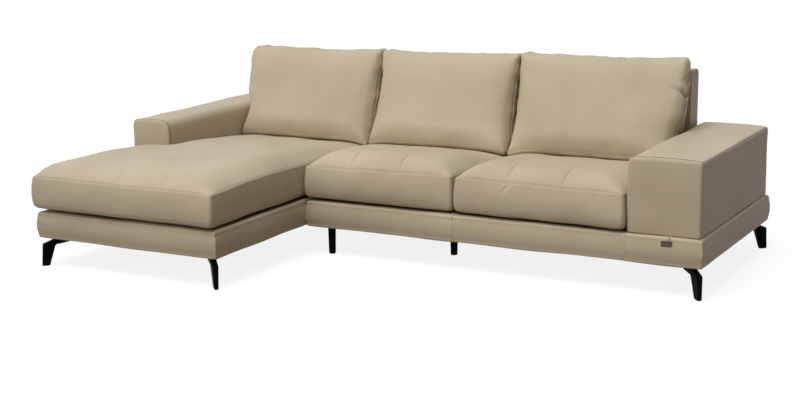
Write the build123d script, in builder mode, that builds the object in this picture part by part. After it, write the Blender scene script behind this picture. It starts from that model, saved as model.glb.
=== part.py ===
"""A leather corner sofa: a chaise module and a two-seat module on cast blade legs.

Millimetres. +X runs to the right as seen from the front, the front faces -Y and +Z is up.
The origin lies on the floor under the middle of the sofa's outline.
"""
import os
from math import sqrt

from build123d import *

os.makedirs("parts", exist_ok=True)

# Plan of the two bases
base_width = 2800
chaise_width = 953
main_depth = 1010
chaise_depth = 1715
module_gap = 2
front_panel_width = 740

# Heights of the legs, the base and the seat deck
leg_height = 130
base_height = 120
deck_rise = 12

# Padded leather band round each base
band_pad = 14
band_top = 6
band_return = 50
band_under = 20
band_bulge = 4
band_roll = 12
band_heel = 7

# Timber base frames, webbing and dust covers
rail_thickness = 25
arm_rail_thickness = 30
bearer_lip = 25
strut_width = 44
block_side = 80
arm_bearer_width = 60
strap_width = 50
strap_thickness = 2
strap_pitch = 95
liner_thickness = 1.5
liner_gap = 0.5
deck_gap = 2
deck_round = 6

# Arms
arm_inset = 14
arm_height = 310
right_arm_width = 312
left_arm_width = 209
left_arm_reach = 20
arm_crown = 6
arm_bulge = 4
arm_inner_round = 30
arm_outer_round = 12
arm_pad = 24
arm_facing = 14
facing_round = 5
carcass_board = 18

# Backs
back_setback = 55
back_thickness = 117
back_height = 562
back_pad = 16
back_crown = 4
back_front_round = 26
back_rear_round = 14
back_clearance = 3
post_width = 60
back_rail_height = 70
back_rail_depth = 40

# Seat cushions
seat_thickness = 142
seat_gap = 4
seat_rest = 0.3
seat_front_overhang = 5
chaise_front_overhang = 15
chaise_side_overhang = 11
chaise_side_inset = 7
side_bulge = 5
side_draw = 5
seat_crown = 56
chaise_crown = 46
lap_crown = 20
seat_rise = 9
nose_crown_share = 0.4
tail_crown = 8
tail_drop = 12.5
channel_share = 0.84
nose_depth = 18
nose_round = 9
channel_shift = 14
chaise_channel_pitch = 239
chaise_channel_start = 268

# Back cushions
pillow_height = 456
pillow_foot_depth = 238
pillow_crest_depth = 100
pillow_gap = 5
pillow_clearance = 3
pillow_rest = 2
pillow_draw = 10
pillow_crown = 48
pillow_crest_round = 40
pillow_crest_lean = 0.75
pillow_split_shift = 10

# Cast blade legs
blade_foot_setback = 11
blade_foot_width = 34
blade_foot_thickness = 17
blade_top_thickness = 28
blade_knee_setback = 18
blade_knee_height = 98
blade_shoulder = 98
blade_neck = 71
blade_neck_drop = 38
blade_bend = 18
blade_bend_rise = 10
blade_root = 134
blade_root_drop = 20
flange_reach = 142
flange_start = 70
flange_width = 60
flange_round = 12
flange_thickness = 5
glide_thickness = 3
glide_inset = 1.5

# Round support legs
post_leg_top = 18
post_leg_foot = 15.5
post_leg_inset_x = 100
post_leg_inset_y = 63
centre_leg_x = 613
centre_leg_y = 275
stud_radius = 4
stud_length = 35

# Screws, bolts and coupling plates
screw_radius = 2.5
screw_head_radius = 5.5
screw_head_height = 3.5
screw_depth = 30
screw_near = 84
screw_far = 126
screw_spread = 21
bolt_radius = 4
bolt_head_radius = 9
bolt_head_height = 6
bolt_depth = 50
bolt_end = 130
hole_clearance = 0.2
plate_width = 36
plate_thickness = 4
plate_margin = 15
plate_end = 150

# Places that follow from the sizes above
x_left = -(base_width - chaise_side_overhang) / 2
x_right = x_left + base_width
x_chaise = x_left + chaise_width
x_main = x_chaise + module_gap
x_mid = x_main + front_panel_width
x_arm_left = x_left + arm_inset + left_arm_width
x_arm_right = x_right - arm_inset - right_arm_width
y_back = (chaise_depth + chaise_front_overhang) / 2
y_front = y_back - main_depth
y_toe = y_back - chaise_depth
y_arm_left = y_front - left_arm_reach
y_arm_right = y_front + arm_inset
y_arm_end = y_back - arm_inset
y_back_rear = y_back - back_setback
y_back_front = y_back_rear - back_thickness

z_base = leg_height
z_band = z_base + base_height
z_rail = z_base + liner_thickness
z_strap = z_band - band_top
z_rail_top = z_strap - strap_thickness
z_deck = z_band + deck_rise
z_arm = z_band + arm_height
z_back = z_band + back_height
z_seat = z_deck + seat_rest
z_seam = z_deck + seat_thickness

# A soft edge is two flats that meet at these shares of its depth and of its inset
soft_step = 0.3
soft_inset = 0.4
# Share of a quarter round's radius between its square corner and its middle
corner = 1 - 1 / sqrt(2)
rail_in = band_pad + rail_thickness
bearer_front = y_back_front - bearer_lip
bearer_rear = y_back - rail_in - block_side


def save(piece, name):
    """Label a finished piece and write its STEP file."""
    piece.part.label = name
    export_step(piece.part, f"parts/{name}.step")


def board(x0, x1, y0, y1, z0, z1, mode=Mode.ADD):
    """A square-edged block between two corners, in the part being built."""
    with Locations(((x0 + x1) / 2, (y0 + y1) / 2, (z0 + z1) / 2)):
        Box(x1 - x0, y1 - y0, z1 - z0, mode=mode)


def drill(points, radius, z0, z1):
    """Upright holes through the part being built."""
    with Locations(*[(x, y, (z0 + z1) / 2) for x, y in points]):
        Cylinder(radius, z1 - z0, mode=Mode.SUBTRACT)


def fasteners(points, radius, head_radius, head_height, z_tip, z_seat_face, head_up):
    """Round-headed screws or bolts, with the head's bearing face at z_seat_face."""
    with Locations(*[(x, y, (z_tip + z_seat_face) / 2) for x, y in points]):
        Cylinder(radius, abs(z_tip - z_seat_face))
    z_head = z_seat_face + (head_height / 2 if head_up else -head_height / 2)
    with Locations(*[(x, y, z_head) for x, y in points]):
        Cylinder(head_radius, head_height)


# Leg places, as base corners with the inward direction along X and Y
blade_corners = {
    "chaise_front_left_leg": (x_left, y_toe, 1, 1),
    "chaise_front_right_leg": (x_chaise, y_toe, -1, 1),
    "chaise_rear_left_leg": (x_left, y_back, 1, -1),
    "main_front_right_leg": (x_right, y_front, -1, 1),
    "main_rear_right_leg": (x_right, y_back, -1, -1),
}
post_legs = {
    "main_front_support_leg": (x_main + post_leg_inset_x, y_front + post_leg_inset_y),
    "main_centre_support_leg": (x_main + centre_leg_x, y_front + centre_leg_y),
    "main_rear_support_leg": (x_main + post_leg_inset_x, y_back - post_leg_inset_y),
    "chaise_rear_support_leg": (x_chaise - post_leg_inset_x, y_back - post_leg_inset_y),
}


def on_diagonal(corner, along, across):
    """A point measured from a base corner along and across its inward diagonal."""
    x, y, dx, dy = corner
    return (x + (dx * along - dy * across) / sqrt(2), y + (dy * along + dx * across) / sqrt(2))


def leg_screw_points(corner):
    """The four screw places in the flange of one blade leg, two on each side of the blade."""
    spreads = (screw_spread, -screw_spread)
    return [on_diagonal(corner, s, t) for s in (screw_near, screw_far) for t in spreads]


chaise_leg_screws = [
    p for n, c in blade_corners.items() if n.startswith("chaise") for p in leg_screw_points(c)
]
main_leg_screws = [
    p for n, c in blade_corners.items() if n.startswith("main") for p in leg_screw_points(c)
]
chaise_studs = [p for n, p in post_legs.items() if n.startswith("chaise")]
main_studs = [p for n, p in post_legs.items() if n.startswith("main")]
rail_middle = band_pad + rail_thickness / 2
plate_rows = (y_front + plate_end, y_back - plate_end)
chaise_plate_screws = [(x_chaise - rail_middle, y) for y in plate_rows]
main_plate_screws = [(x_main + rail_middle, y) for y in plate_rows]

# Arm bearers carry the inner foot of each arm, back bearers the posts of each back
left_bearer = (x_arm_left - arm_pad - arm_bearer_width, x_arm_left - arm_pad)
right_bearer = (x_arm_right + arm_pad, x_arm_right + arm_pad + arm_bearer_width)
left_arm_bolts = [
    (sum(left_bearer) / 2, y) for y in (y_arm_left + bolt_end, bearer_front - bolt_end)
]
right_arm_bolts = [
    (sum(right_bearer) / 2, y) for y in (y_arm_right + bolt_end, bearer_front - bolt_end)
]
y_bolt_back = y_back_front + back_pad + back_rail_depth / 2
x_chaise_back = (x_arm_left + back_clearance, x_chaise)
x_main_back = (x_main, x_arm_right - back_clearance)
chaise_back_bolts = [
    (x, y_bolt_back) for x in (x_chaise_back[0] + bolt_end, x_chaise_back[1] - bolt_end)
]
main_back_bolts = [
    (x, y_bolt_back) for x in (x_main_back[0] + bolt_end, x_main_back[1] - bolt_end)
]

# Chaise base frame
with BuildPart() as chaise_long_rails:
    for x0 in (x_left + band_pad, x_chaise - rail_in):
        board(x0, x0 + rail_thickness, y_toe + band_pad, y_back - band_pad, z_rail, z_rail_top)
    board(*left_bearer, y_arm_left + arm_rail_thickness, bearer_front, z_rail, z_band)
    drill(chaise_plate_screws, screw_radius + hole_clearance, z_rail, z_rail + screw_depth)
    drill(left_arm_bolts, bolt_radius + hole_clearance, z_band - bolt_depth, z_band)
save(chaise_long_rails, "chaise_long_rails")

with BuildPart() as chaise_cross_rails:
    for y0, y1 in (
        (y_toe + band_pad, y_toe + rail_in),
        (y_arm_left, y_arm_left + arm_rail_thickness),
        (bearer_front, bearer_rear),
        (y_back - rail_in, y_back - band_pad),
    ):
        board(x_left + rail_in, x_chaise - rail_in, y0, y1, z_rail, z_rail_top)
    x0, x1 = x_left + band_return, x_chaise - band_return
    board(x0, x1, y_back_front, bearer_rear, z_rail_top, z_band)
    drill(chaise_back_bolts, bolt_radius + hole_clearance, z_band - bolt_depth, z_band)
save(chaise_cross_rails, "chaise_cross_rails")

# Two-seat base frame
with BuildPart() as main_long_rails:
    for y0 in (y_front + band_pad, y_back - rail_in):
        board(x_main + band_pad, x_right - band_pad, y0, y0 + rail_thickness, z_rail, z_rail_top)
    board(x_main + rail_in, x_right - rail_in, bearer_front, bearer_rear, z_rail, z_rail_top)
    x0, x1 = x_main + band_return, x_right - band_return
    board(x0, x1, y_back_front, bearer_rear, z_rail_top, z_band)
    drill(main_back_bolts, bolt_radius + hole_clearance, z_band - bolt_depth, z_band)
save(main_long_rails, "main_long_rails")

with BuildPart() as main_cross_rails:
    for x0 in (x_main + band_pad, x_right - rail_in):
        board(x0, x0 + rail_thickness, y_front + rail_in, y_back - rail_in, z_rail, z_rail_top)
    x0 = x_main + centre_leg_x - strut_width / 2
    board(x0, x0 + strut_width, y_front + rail_in, bearer_front, z_rail, z_rail_top)
    board(*right_bearer, y_front + rail_in, bearer_front, z_rail, z_rail_top)
    board(*right_bearer, y_front + band_return, bearer_front, z_rail_top, z_band)
    drill(main_plate_screws, screw_radius + hole_clearance, z_rail, z_rail + screw_depth)
    drill(right_arm_bolts, bolt_radius + hole_clearance, z_band - bolt_depth, z_band)
    centre_stud = [post_legs["main_centre_support_leg"]]
    drill(centre_stud, stud_radius + hole_clearance, z_rail, z_rail + stud_length)
save(main_cross_rails, "main_cross_rails")


def corner_blocks(name, x0, x1, y0, y1, screws, studs):
    """Blocks in the four inner corners of a base frame, bored for its legs."""
    with BuildPart() as blocks:
        for xa in (x0 + rail_in, x1 - rail_in - block_side):
            for ya in (y0 + rail_in, y1 - rail_in - block_side):
                board(xa, xa + block_side, ya, ya + block_side, z_rail, z_rail_top)
        drill(screws, screw_radius + hole_clearance, z_rail, z_rail + screw_depth)
        drill(studs, stud_radius + hole_clearance, z_rail, z_rail + stud_length)
    save(blocks, name)


corner_blocks(
    "chaise_corner_blocks", x_left, x_chaise, y_toe, y_back, chaise_leg_screws, chaise_studs
)
corner_blocks("main_corner_blocks", x_main, x_right, y_front, y_back, main_leg_screws, main_studs)


# Elastic webbing, stapled to the front rail and the back bearer
def straps(x0, x1, y0, y1):
    """Evenly spread straps along Y between two sides, in the part being built."""
    count = int((x1 - x0) // strap_pitch)
    step = (x1 - x0) / count
    for i in range(count):
        x = x0 + (i + 0.5) * step
        board(x - strap_width / 2, x + strap_width / 2, y0, y1, z_rail_top, z_strap)


with BuildPart() as chaise_webbing:
    y0 = y_toe + band_pad
    straps(x_left + band_return, x_arm_left, y0, y_arm_left + arm_rail_thickness)
    straps(x_arm_left, x_chaise - band_return, y0, y_back_front)
save(chaise_webbing, "chaise_webbing")

with BuildPart() as main_webbing:
    straps(x_main + band_return, x_arm_right, y_front + band_pad, y_back_front)
save(main_webbing, "main_webbing")

# Seat deck pads on the webbing
with BuildPart() as chaise_deck:
    x1 = x_chaise - band_return - deck_gap
    y0 = y_toe + band_return + deck_gap
    board(x_left + band_return + deck_gap, x1, y0, y_arm_left - deck_gap, z_strap, z_deck)
    board(x_arm_left + deck_gap, x1, y_arm_left, y_back_front - deck_gap, z_strap, z_deck)
    fillet(chaise_deck.faces().filter_by(Axis.Z).group_by(Axis.Z)[-1].edges(), deck_round)
save(chaise_deck, "chaise_deck")

with BuildPart() as main_deck:
    y0, y1 = y_front + band_return + deck_gap, y_back_front - deck_gap
    board(x_main + band_return + deck_gap, x_arm_right - deck_gap, y0, y1, z_strap, z_deck)
    fillet(main_deck.faces().filter_by(Axis.Z).group_by(Axis.Z)[-1].edges(), deck_round)
save(main_deck, "main_deck")


# Dust covers below the frames
def dust_cover(name, x0, x1, y0, y1, screws, studs):
    """A cloth sheet inside the turned-under band, pierced by the leg fasteners."""
    edge = band_under + liner_gap
    with BuildPart() as sheet:
        board(x0 + edge, x1 - edge, y0 + edge, y1 - edge, z_base, z_rail)
        drill(screws, screw_radius + hole_clearance, z_base, z_rail)
        drill(studs, stud_radius + hole_clearance, z_base, z_rail)
    save(sheet, name)


dust_cover(
    "chaise_dust_cover",
    x_left,
    x_chaise,
    y_toe,
    y_back,
    chaise_leg_screws + chaise_plate_screws,
    chaise_studs,
)
dust_cover(
    "main_dust_cover",
    x_main,
    x_right,
    y_front,
    y_back,
    main_leg_screws + main_plate_screws,
    main_studs,
)


# Base bands: a padded strip that rolls over the rail's top edge and turns under its bottom edge
def base_band(name, start, along, length, mitre_start, mitre_end):
    """One strip of the band. Seen from above, strips run anticlockwise round their base."""
    run = Vector(*along)
    inward = Vector(0, 0, 1).cross(run)
    origin = Vector(*start)
    z_mid = (z_base + z_band) / 2
    with BuildPart() as strip:
        with BuildSketch(Plane(origin=origin, x_dir=inward, z_dir=run)):
            with BuildLine():
                shoulder = (band_bulge, z_band - band_roll)
                roll_top = (band_bulge + band_roll, z_band)
                roll_mid = (band_bulge + band_roll * corner, z_band - band_roll * corner)
                heel = (band_bulge, z_base + band_heel)
                heel_foot = (band_bulge + band_heel, z_base)
                heel_mid = (band_bulge + band_heel * corner, z_base + band_heel * corner)
                Polyline(
                    roll_top,
                    (band_return, z_band),
                    (band_return, z_strap),
                    (band_pad, z_strap),
                    (band_pad, z_rail),
                    (band_under, z_rail),
                    (band_under, z_base),
                    heel_foot,
                )
                ThreePointArc(heel_foot, heel_mid, heel)
                ThreePointArc(heel, (0, z_mid), shoulder)
                ThreePointArc(shoulder, roll_mid, roll_top)
            make_face()
        extrude(amount=length)
        if mitre_start:
            split(bisect_by=Plane(origin=origin, z_dir=run - inward), keep=Keep.TOP)
        if mitre_end:
            end = origin + run * length
            split(bisect_by=Plane(origin=end, z_dir=-run - inward), keep=Keep.TOP)
    save(strip, name)


to_right, to_rear, to_left, to_front = (1, 0, 0), (0, 1, 0), (-1, 0, 0), (0, -1, 0)
main_width = x_right - x_main
base_band("chaise_front_band", (x_left, y_toe, 0), to_right, chaise_width, True, True)
base_band("chaise_right_band", (x_chaise, y_toe, 0), to_rear, chaise_depth, True, True)
base_band("chaise_rear_band", (x_chaise, y_back, 0), to_left, chaise_width, True, True)
base_band("chaise_left_band", (x_left, y_back, 0), to_front, chaise_depth, True, True)
base_band("main_front_band_left", (x_main, y_front, 0), to_right, x_mid - x_main, True, False)
base_band("main_front_band_right", (x_mid, y_front, 0), to_right, x_arm_right - x_mid, False, False)
base_band("main_arm_band", (x_arm_right, y_front, 0), to_right, x_right - x_arm_right, False, True)
base_band("main_right_band", (x_right, y_front, 0), to_rear, main_depth, True, True)
base_band("main_rear_band", (x_right, y_back, 0), to_left, main_width, True, True)
base_band("main_left_band", (x_main, y_back, 0), to_front, main_depth, True, True)


# Arms: a board carcass, a padded cover with a soft inner edge, and a welted front panel
def arm_outline(y, seat_side, far_side, inset=0):
    """The arm's front outline, standing at y, with its sides and top drawn in by the inset."""
    side = 1 if far_side > seat_side else -1
    x_in, x_out = seat_side + side * inset, far_side - side * inset
    foot = x_in + side * arm_bulge
    z_top = z_arm - inset
    with BuildSketch(Plane.XZ.offset(-y)) as outline:
        with BuildLine():
            inner_low = (foot, z_band)
            inner_high = (foot, z_top - arm_inner_round)
            top_in = (foot + side * arm_inner_round, z_top)
            top_out = (x_out - side * arm_outer_round, z_top)
            outer_high = (x_out, z_top - arm_outer_round)
            outer_low = (x_out, z_band)
            ThreePointArc(inner_low, (x_in, (z_band + inner_high[1]) / 2), inner_high)
            inner_mid = (foot + side * arm_inner_round * corner, z_top - arm_inner_round * corner)
            ThreePointArc(inner_high, inner_mid, top_in)
            ThreePointArc(top_in, ((top_in[0] + top_out[0]) / 2, z_top + arm_crown), top_out)
            outer_mid = (x_out - side * arm_outer_round * corner, z_top - arm_outer_round * corner)
            ThreePointArc(top_out, outer_mid, outer_high)
            Polyline(outer_high, outer_low, inner_low)
        make_face()
    return outline.sketch


def arm(name, x_in, x_out, y0, bolts):
    """Carcass, cover and front panel of one arm, whose front is at y0."""
    y_wrap = y0 + arm_facing
    y_end = y_arm_end - arm_pad
    z_top = z_arm - arm_pad
    xa, xb = sorted((x_in, x_out))
    with BuildPart() as frame:
        board(xa + arm_pad, xb - arm_pad, y_wrap, y_end, z_band, z_top)
        hollow_x = arm_pad + carcass_board
        board(
            xa + hollow_x,
            xb - hollow_x,
            y_wrap + carcass_board,
            y_end,
            z_band + carcass_board,
            z_top - carcass_board,
            Mode.SUBTRACT,
        )
        drill(bolts, bolt_radius + hole_clearance, z_band, z_band + carcass_board)
    save(frame, f"{name}_frame")
    with BuildPart() as cover:
        extrude(arm_outline(y_arm_end, x_in, x_out), amount=y_arm_end - y_wrap)
        board(xa + arm_pad, xb - arm_pad, y_wrap, y_end, z_band, z_top, Mode.SUBTRACT)
    save(cover, f"{name}_cover")
    with BuildPart() as facing:
        extrude(arm_outline(y_wrap, x_in, x_out), amount=arm_facing - facing_round)
        rim = [
            arm_outline(y0 + facing_round, x_in, x_out),
            arm_outline(y0 + facing_round * soft_step, x_in, x_out, facing_round * soft_inset),
            arm_outline(y0, x_in, x_out, facing_round),
        ]
        loft(sections=rim, ruled=True)
    save(facing, f"{name}_front_panel")


arm("left_arm", x_arm_left, x_left + arm_inset, y_arm_left, left_arm_bolts)
arm("right_arm", x_arm_right, x_right - arm_inset, y_arm_right, right_arm_bolts)

with BuildPart() as arm_bolts:
    z1 = z_band + carcass_board
    bolts = left_arm_bolts + right_arm_bolts
    fasteners(bolts, bolt_radius, bolt_head_radius, bolt_head_height, z_band - bolt_depth, z1, True)
save(arm_bolts, "arm_bolts")


# Backs: posts and rails under a padded cover with a soft front edge
def back(name, x0, x1, bolts):
    """Posts, rails and cover of the back of one module, between x0 and x1."""
    y0, y1 = y_back_front + back_pad, y_back_rear - back_pad
    z_top = z_back - back_pad
    first, last = x0 + back_pad, x1 - back_pad - post_width
    middle = (first + last) / 2
    with BuildPart() as posts:
        for x in (first, middle, last):
            board(x, x + post_width, y0, y1, z_band, z_top)
    save(posts, f"{name}_posts")
    with BuildPart() as rails:
        for xa, xb in ((first + post_width, middle), (middle + post_width, last)):
            for z in (z_band, z_top - back_rail_height):
                board(xa, xb, y0, y0 + back_rail_depth, z, z + back_rail_height)
        drill(bolts, bolt_radius + hole_clearance, z_band, z_band + back_rail_height)
    save(rails, f"{name}_rails")
    with BuildPart() as cover:
        with BuildSketch(Plane.YZ.offset(x0)):
            with BuildLine():
                front_high = (y_back_front, z_back - back_front_round)
                top_front = (y_back_front + back_front_round, z_back)
                top_rear = (y_back_rear - back_rear_round, z_back)
                rear_high = (y_back_rear, z_back - back_rear_round)
                front_step, rear_step = back_front_round * corner, back_rear_round * corner
                front_mid = (y_back_front + front_step, z_back - front_step)
                rear_mid = (y_back_rear - rear_step, z_back - rear_step)
                crown_mid = ((top_front[0] + top_rear[0]) / 2, z_back + back_crown)
                ThreePointArc(front_high, front_mid, top_front)
                ThreePointArc(top_front, crown_mid, top_rear)
                ThreePointArc(top_rear, rear_mid, rear_high)
                Polyline(rear_high, (y_back_rear, z_band), (y_back_front, z_band), front_high)
            make_face()
        extrude(amount=x1 - x0)
        board(x0 + back_pad, x1 - back_pad, y0, y1, z_band, z_top, Mode.SUBTRACT)
    save(cover, f"{name}_cover")


back("chaise_back", *x_chaise_back, chaise_back_bolts)
back("main_back", *x_main_back, main_back_bolts)

with BuildPart() as back_bolts:
    bolts = chaise_back_bolts + main_back_bolts
    z1 = z_band + back_rail_height
    fasteners(bolts, bolt_radius, bolt_head_radius, bolt_head_height, z_band - bolt_depth, z1, True)
save(back_bolts, "back_bolts")


# Seat cushions: boxed sides, and a crowned top that two sewn channels part into three lobes
def seat_slice(y, sides, channels, edge_drop, crown, inset):
    """A cushion's upright section at y: its sides, its seam height and its crown above that."""
    x0, x1 = sides[0] + inset, sides[1] - inset
    low, high = z_seat + inset, z_seam - edge_drop - inset
    z_mid = (low + high) / 2
    stitch = high + crown * channel_share
    tops = [(x0 + side_bulge, high)]
    tops += [(x, stitch) for x in channels]
    tops += [(x1 - side_bulge, high)]
    with BuildSketch(Plane.XZ.offset(-y)) as section:
        with BuildLine():
            Line((x0 + side_bulge, low), (x1 - side_bulge, low))
            ThreePointArc((x1 - side_bulge, low), (x1, z_mid), (x1 - side_bulge, high))
            for a, b in zip(tops, tops[1:]):
                ThreePointArc(a, ((a[0] + b[0]) / 2, high + crown), b)
            ThreePointArc((x0 + side_bulge, high), (x0, z_mid), (x0 + side_bulge, low))
        make_face()
    return section.sketch


def seat_form(sides, channels, y0, spans):
    """A cushion in the part being built, from its front at y0 through its spans of stations."""
    bodies = [
        [
            seat_slice(y, (sides[0] + draw, sides[1] - draw), channels, drop, crown, 0)
            for y, draw, drop, crown in span
        ]
        for span in spans
    ]
    y1 = spans[-1][-1][0] + nose_depth
    front, rear = spans[0][0][2:], spans[-1][-1][2:]
    step, step_inset = nose_depth * soft_step, nose_round * soft_inset
    front_cap = [
        seat_slice(y0, sides, channels, *front, nose_round),
        seat_slice(y0 + step, sides, channels, *front, step_inset),
        bodies[0][0],
    ]
    rear_cap = [
        bodies[-1][-1],
        seat_slice(y1 - step, sides, channels, *rear, step_inset),
        seat_slice(y1, sides, channels, *rear, nose_round),
    ]
    for body in bodies:
        loft(sections=body)
    loft(sections=front_cap, ruled=True)
    loft(sections=rear_cap, ruled=True)


# Sections of a seat by their share of its depth, with their shares of the draw at the sides, of the
# seam's rise and of the crown: the brow, the full crown, its rear slope and the pillow's lap. The
# top never hollows behind the crown, so the back cushion rests on it along its whole foot
seat_brow = (0.05, 0.3, 0.9, 0.76)
seat_ramp = (0.14, 0.6, 1.0, 1.0)
seat_full = (0.32, 1.0, 1.0, 0.82)
chaise_full = (0.32, 1.0, 1.0, 1.0)
seat_slope = (0.49, 1.0, 0.8, 1.64)
lap_front = (0.66, 0.8, 0.35, 1.1)
lap_rear = (0.82, 0.5, -0.4, 0.7)
y_seat = y_front - seat_front_overhang
y_seat_rear = y_back_front - back_clearance
y_tail = y_seat_rear - nose_depth
seat_depth = y_seat_rear - y_seat


def station(y0, shares, crown):
    """A section behind a front at y0: its place, side draw, seam drop and crown."""
    place, draw, rise, share = shares
    return (y0 + seat_depth * place, side_draw * draw, -seat_rise * rise, crown * share)


def nose(y0, rise, crown):
    """The section just behind the rounded front edge at y0."""
    return (y0 + nose_depth, 0, -rise, crown * nose_crown_share)


seat_lap = [station(y_seat, shares, lap_crown) for shares in (seat_slope, lap_front, lap_rear)]
seat_lap.append((y_tail, 0, tail_drop, tail_crown))
seat_front = [nose(y_seat, seat_rise * seat_brow[2], seat_crown)]
seat_front += [station(y_seat, shares, seat_crown) for shares in (seat_brow, seat_ramp)]
seat_level = [seat_front[-1], station(y_seat, seat_full, seat_crown)]
seat_spans = [seat_front, seat_level, seat_level[-1:] + seat_lap]


def thirds(x0, x1):
    """The two channel places that part a cushion's width into three, a little to the left."""
    return [x0 + (x1 - x0) * part / 3 - channel_shift for part in (1, 2)]


x_seat_split = x_chaise - chaise_side_inset + seat_gap
left_seat = (x_seat_split, x_mid - seat_gap / 2)
right_seat = (x_mid + seat_gap / 2, x_arm_right - seat_gap)
with BuildPart() as seat_cushion_left:
    seat_form(left_seat, thirds(*left_seat), y_seat, seat_spans)
save(seat_cushion_left, "seat_cushion_left")

with BuildPart() as seat_cushion_right:
    seat_form(right_seat, thirds(*right_seat), y_seat, seat_spans)
save(seat_cushion_right, "seat_cushion_right")

# The chaise cushion runs the whole depth and is notched round the left arm
chaise_sides = (x_left - chaise_side_overhang, x_chaise - chaise_side_inset)
channel_marks = [chaise_channel_start + chaise_channel_pitch * number for number in (2, 1, 0)]
chaise_channels = [chaise_sides[1] - mark for mark in channel_marks]
y_chaise = y_toe - chaise_front_overhang
chaise_front = [nose(y_chaise, 0, chaise_crown)]
chaise_front += [station(y_chaise, shares, chaise_crown) for shares in (seat_brow, seat_ramp)]
chaise_level = [chaise_front[-1], station(y_seat, chaise_full, chaise_crown)]
chaise_spans = [chaise_front, chaise_level, chaise_level[-1:] + seat_lap]
with BuildPart() as chaise_cushion:
    seat_form(chaise_sides, chaise_channels, y_chaise, chaise_spans)
    board(
        chaise_sides[0],
        x_arm_left + seat_gap,
        y_arm_left - seat_gap,
        y_seat_rear,
        z_seat,
        z_seam + seat_crown * 2,
        Mode.SUBTRACT,
    )
save(chaise_cushion, "chaise_cushion")


# Back cushions: pillows with a full belly, drawn-in sides and a thin crest above the back
def pillow_slice(z, sides, front, rear, draw, crown):
    """A pillow's level section at z: its sides drawn in, its face bowed forward by the crown."""
    x0, x1 = sides[0] + draw, sides[1] - draw
    with BuildSketch(Plane.XY.offset(z)) as section:
        with BuildLine():
            Line((x0, rear), (x1, rear))
            Line((x1, rear), (x1, front))
            ThreePointArc((x1, front), ((x0 + x1) / 2, front - crown), (x0, front))
            Line((x0, front), (x0, rear))
        make_face()
    return section.sketch


# Each slice has its height as a share of the pillow's, then its shares of the crown, of the draw
# at the sides and of the rounding at the crest
pillow_belly = (
    (-0.08, 0.30, 0.4, 0.0),
    (0.10, 0.70, 0.0, 0.0),
    (0.30, 1.00, 0.6, 0.0),
    (0.50, 1.00, 1.0, 0.0),
    (0.70, 0.85, 0.8, 0.0),
    (0.88, 0.60, 0.2, 0.0),
)
pillow_crest = (
    (0.95, 0.45, 0.0, 0.16),
    (0.985, 0.30, 0.2, 0.5),
    (1.0, 0.20, 0.6, 1.0),
)
y_pillow = y_back_front - pillow_clearance
lap = seat_lap[1]
lap_top = Vector(0, lap[0], z_seam - lap[2] + lap[3] + pillow_rest)
tail_top = Vector(0, y_tail, z_seam - tail_drop + tail_crown + pillow_rest)
lap_slope = tail_top - lap_top
z_pillow = tail_top.Z + lap_slope.Z / lap_slope.Y * (y_pillow - y_tail)


def pillow(name, x0, x1):
    """One back cushion between x0 and x1, cut below to lie on the seat cushion's slope."""
    slices = []
    for up, crown, draw, crest in pillow_belly + pillow_crest:
        depth = pillow_foot_depth + (pillow_crest_depth - pillow_foot_depth) * up
        rounding = pillow_crest_round * crest
        section = pillow_slice(
            z_pillow + pillow_height * up,
            (x0, x1),
            y_pillow - depth + rounding,
            y_pillow - rounding * pillow_crest_lean,
            pillow_draw * draw,
            pillow_crown * crown,
        )
        slices.append(section)
    underside = Plane(origin=lap_top, x_dir=(1, 0, 0), z_dir=Vector(1, 0, 0).cross(lap_slope))
    with BuildPart() as cushion:
        loft(sections=slices[: len(pillow_belly)])
        loft(sections=slices[len(pillow_belly) - 1 :], ruled=True)
        split(bisect_by=underside, keep=Keep.TOP)
    save(cushion, name)


x_pillow_split = x_mid - pillow_split_shift
pillow("back_cushion_left", x_arm_left + pillow_gap, x_main - pillow_gap / 2)
pillow("back_cushion_centre", x_main + pillow_gap / 2, x_pillow_split - pillow_gap / 2)
pillow("back_cushion_right", x_pillow_split + pillow_gap / 2, x_arm_right - pillow_gap)


# Cast blade legs, set on the diagonals of the outer corners
def blade_leg(name, corner):
    """A tapered blade with a knee below the base's edge and a screwed flange."""
    x, y, dx, dy = corner
    inward = Vector(dx, dy, 0) / sqrt(2)
    diagonal = Plane(origin=(x, y, 0), x_dir=inward, z_dir=inward.cross(Vector(0, 0, 1)))
    foot_in = blade_foot_setback + blade_foot_width
    z_web = z_base - flange_thickness
    neck = Vector(blade_neck, z_web - blade_neck_drop)
    bend = neck + Vector(blade_bend, blade_bend_rise)
    bend_middle = neck + Vector(blade_bend / 4, blade_bend_rise * 0.7)
    with BuildPart() as leg:
        with BuildSketch(diagonal):
            with BuildLine():
                Polyline(
                    neck,
                    (foot_in, glide_thickness),
                    (blade_foot_setback, glide_thickness),
                    (blade_knee_setback, blade_knee_height),
                    (blade_shoulder, z_base),
                    (flange_reach, z_base),
                    (flange_reach, z_web),
                    (blade_root, z_web - blade_root_drop),
                    bend,
                )
                ThreePointArc(bend, bend_middle, neck)
            make_face()
        extrude(amount=blade_top_thickness / 2, both=True)
        drop = z_base - glide_thickness
        lean = (blade_top_thickness - blade_foot_thickness) / 2
        for side in (1, -1):
            across = inward.cross(Vector(0, 0, 1)) * side
            cut_at = Vector(x, y, z_base) + across * (blade_top_thickness / 2)
            slope = -across * drop + Vector(0, 0, 1) * lean
            split(bisect_by=Plane(origin=cut_at, z_dir=slope), keep=Keep.TOP)
        with BuildSketch(Plane(origin=(x, y, z_web), x_dir=inward, z_dir=(0, 0, 1))):
            with Locations(((flange_start + flange_reach) / 2, 0)):
                RectangleRounded(flange_reach - flange_start, flange_width, flange_round)
        extrude(amount=flange_thickness)
        drill(leg_screw_points(corner), screw_radius + hole_clearance, z_web, z_base)
    save(leg, name)


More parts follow.
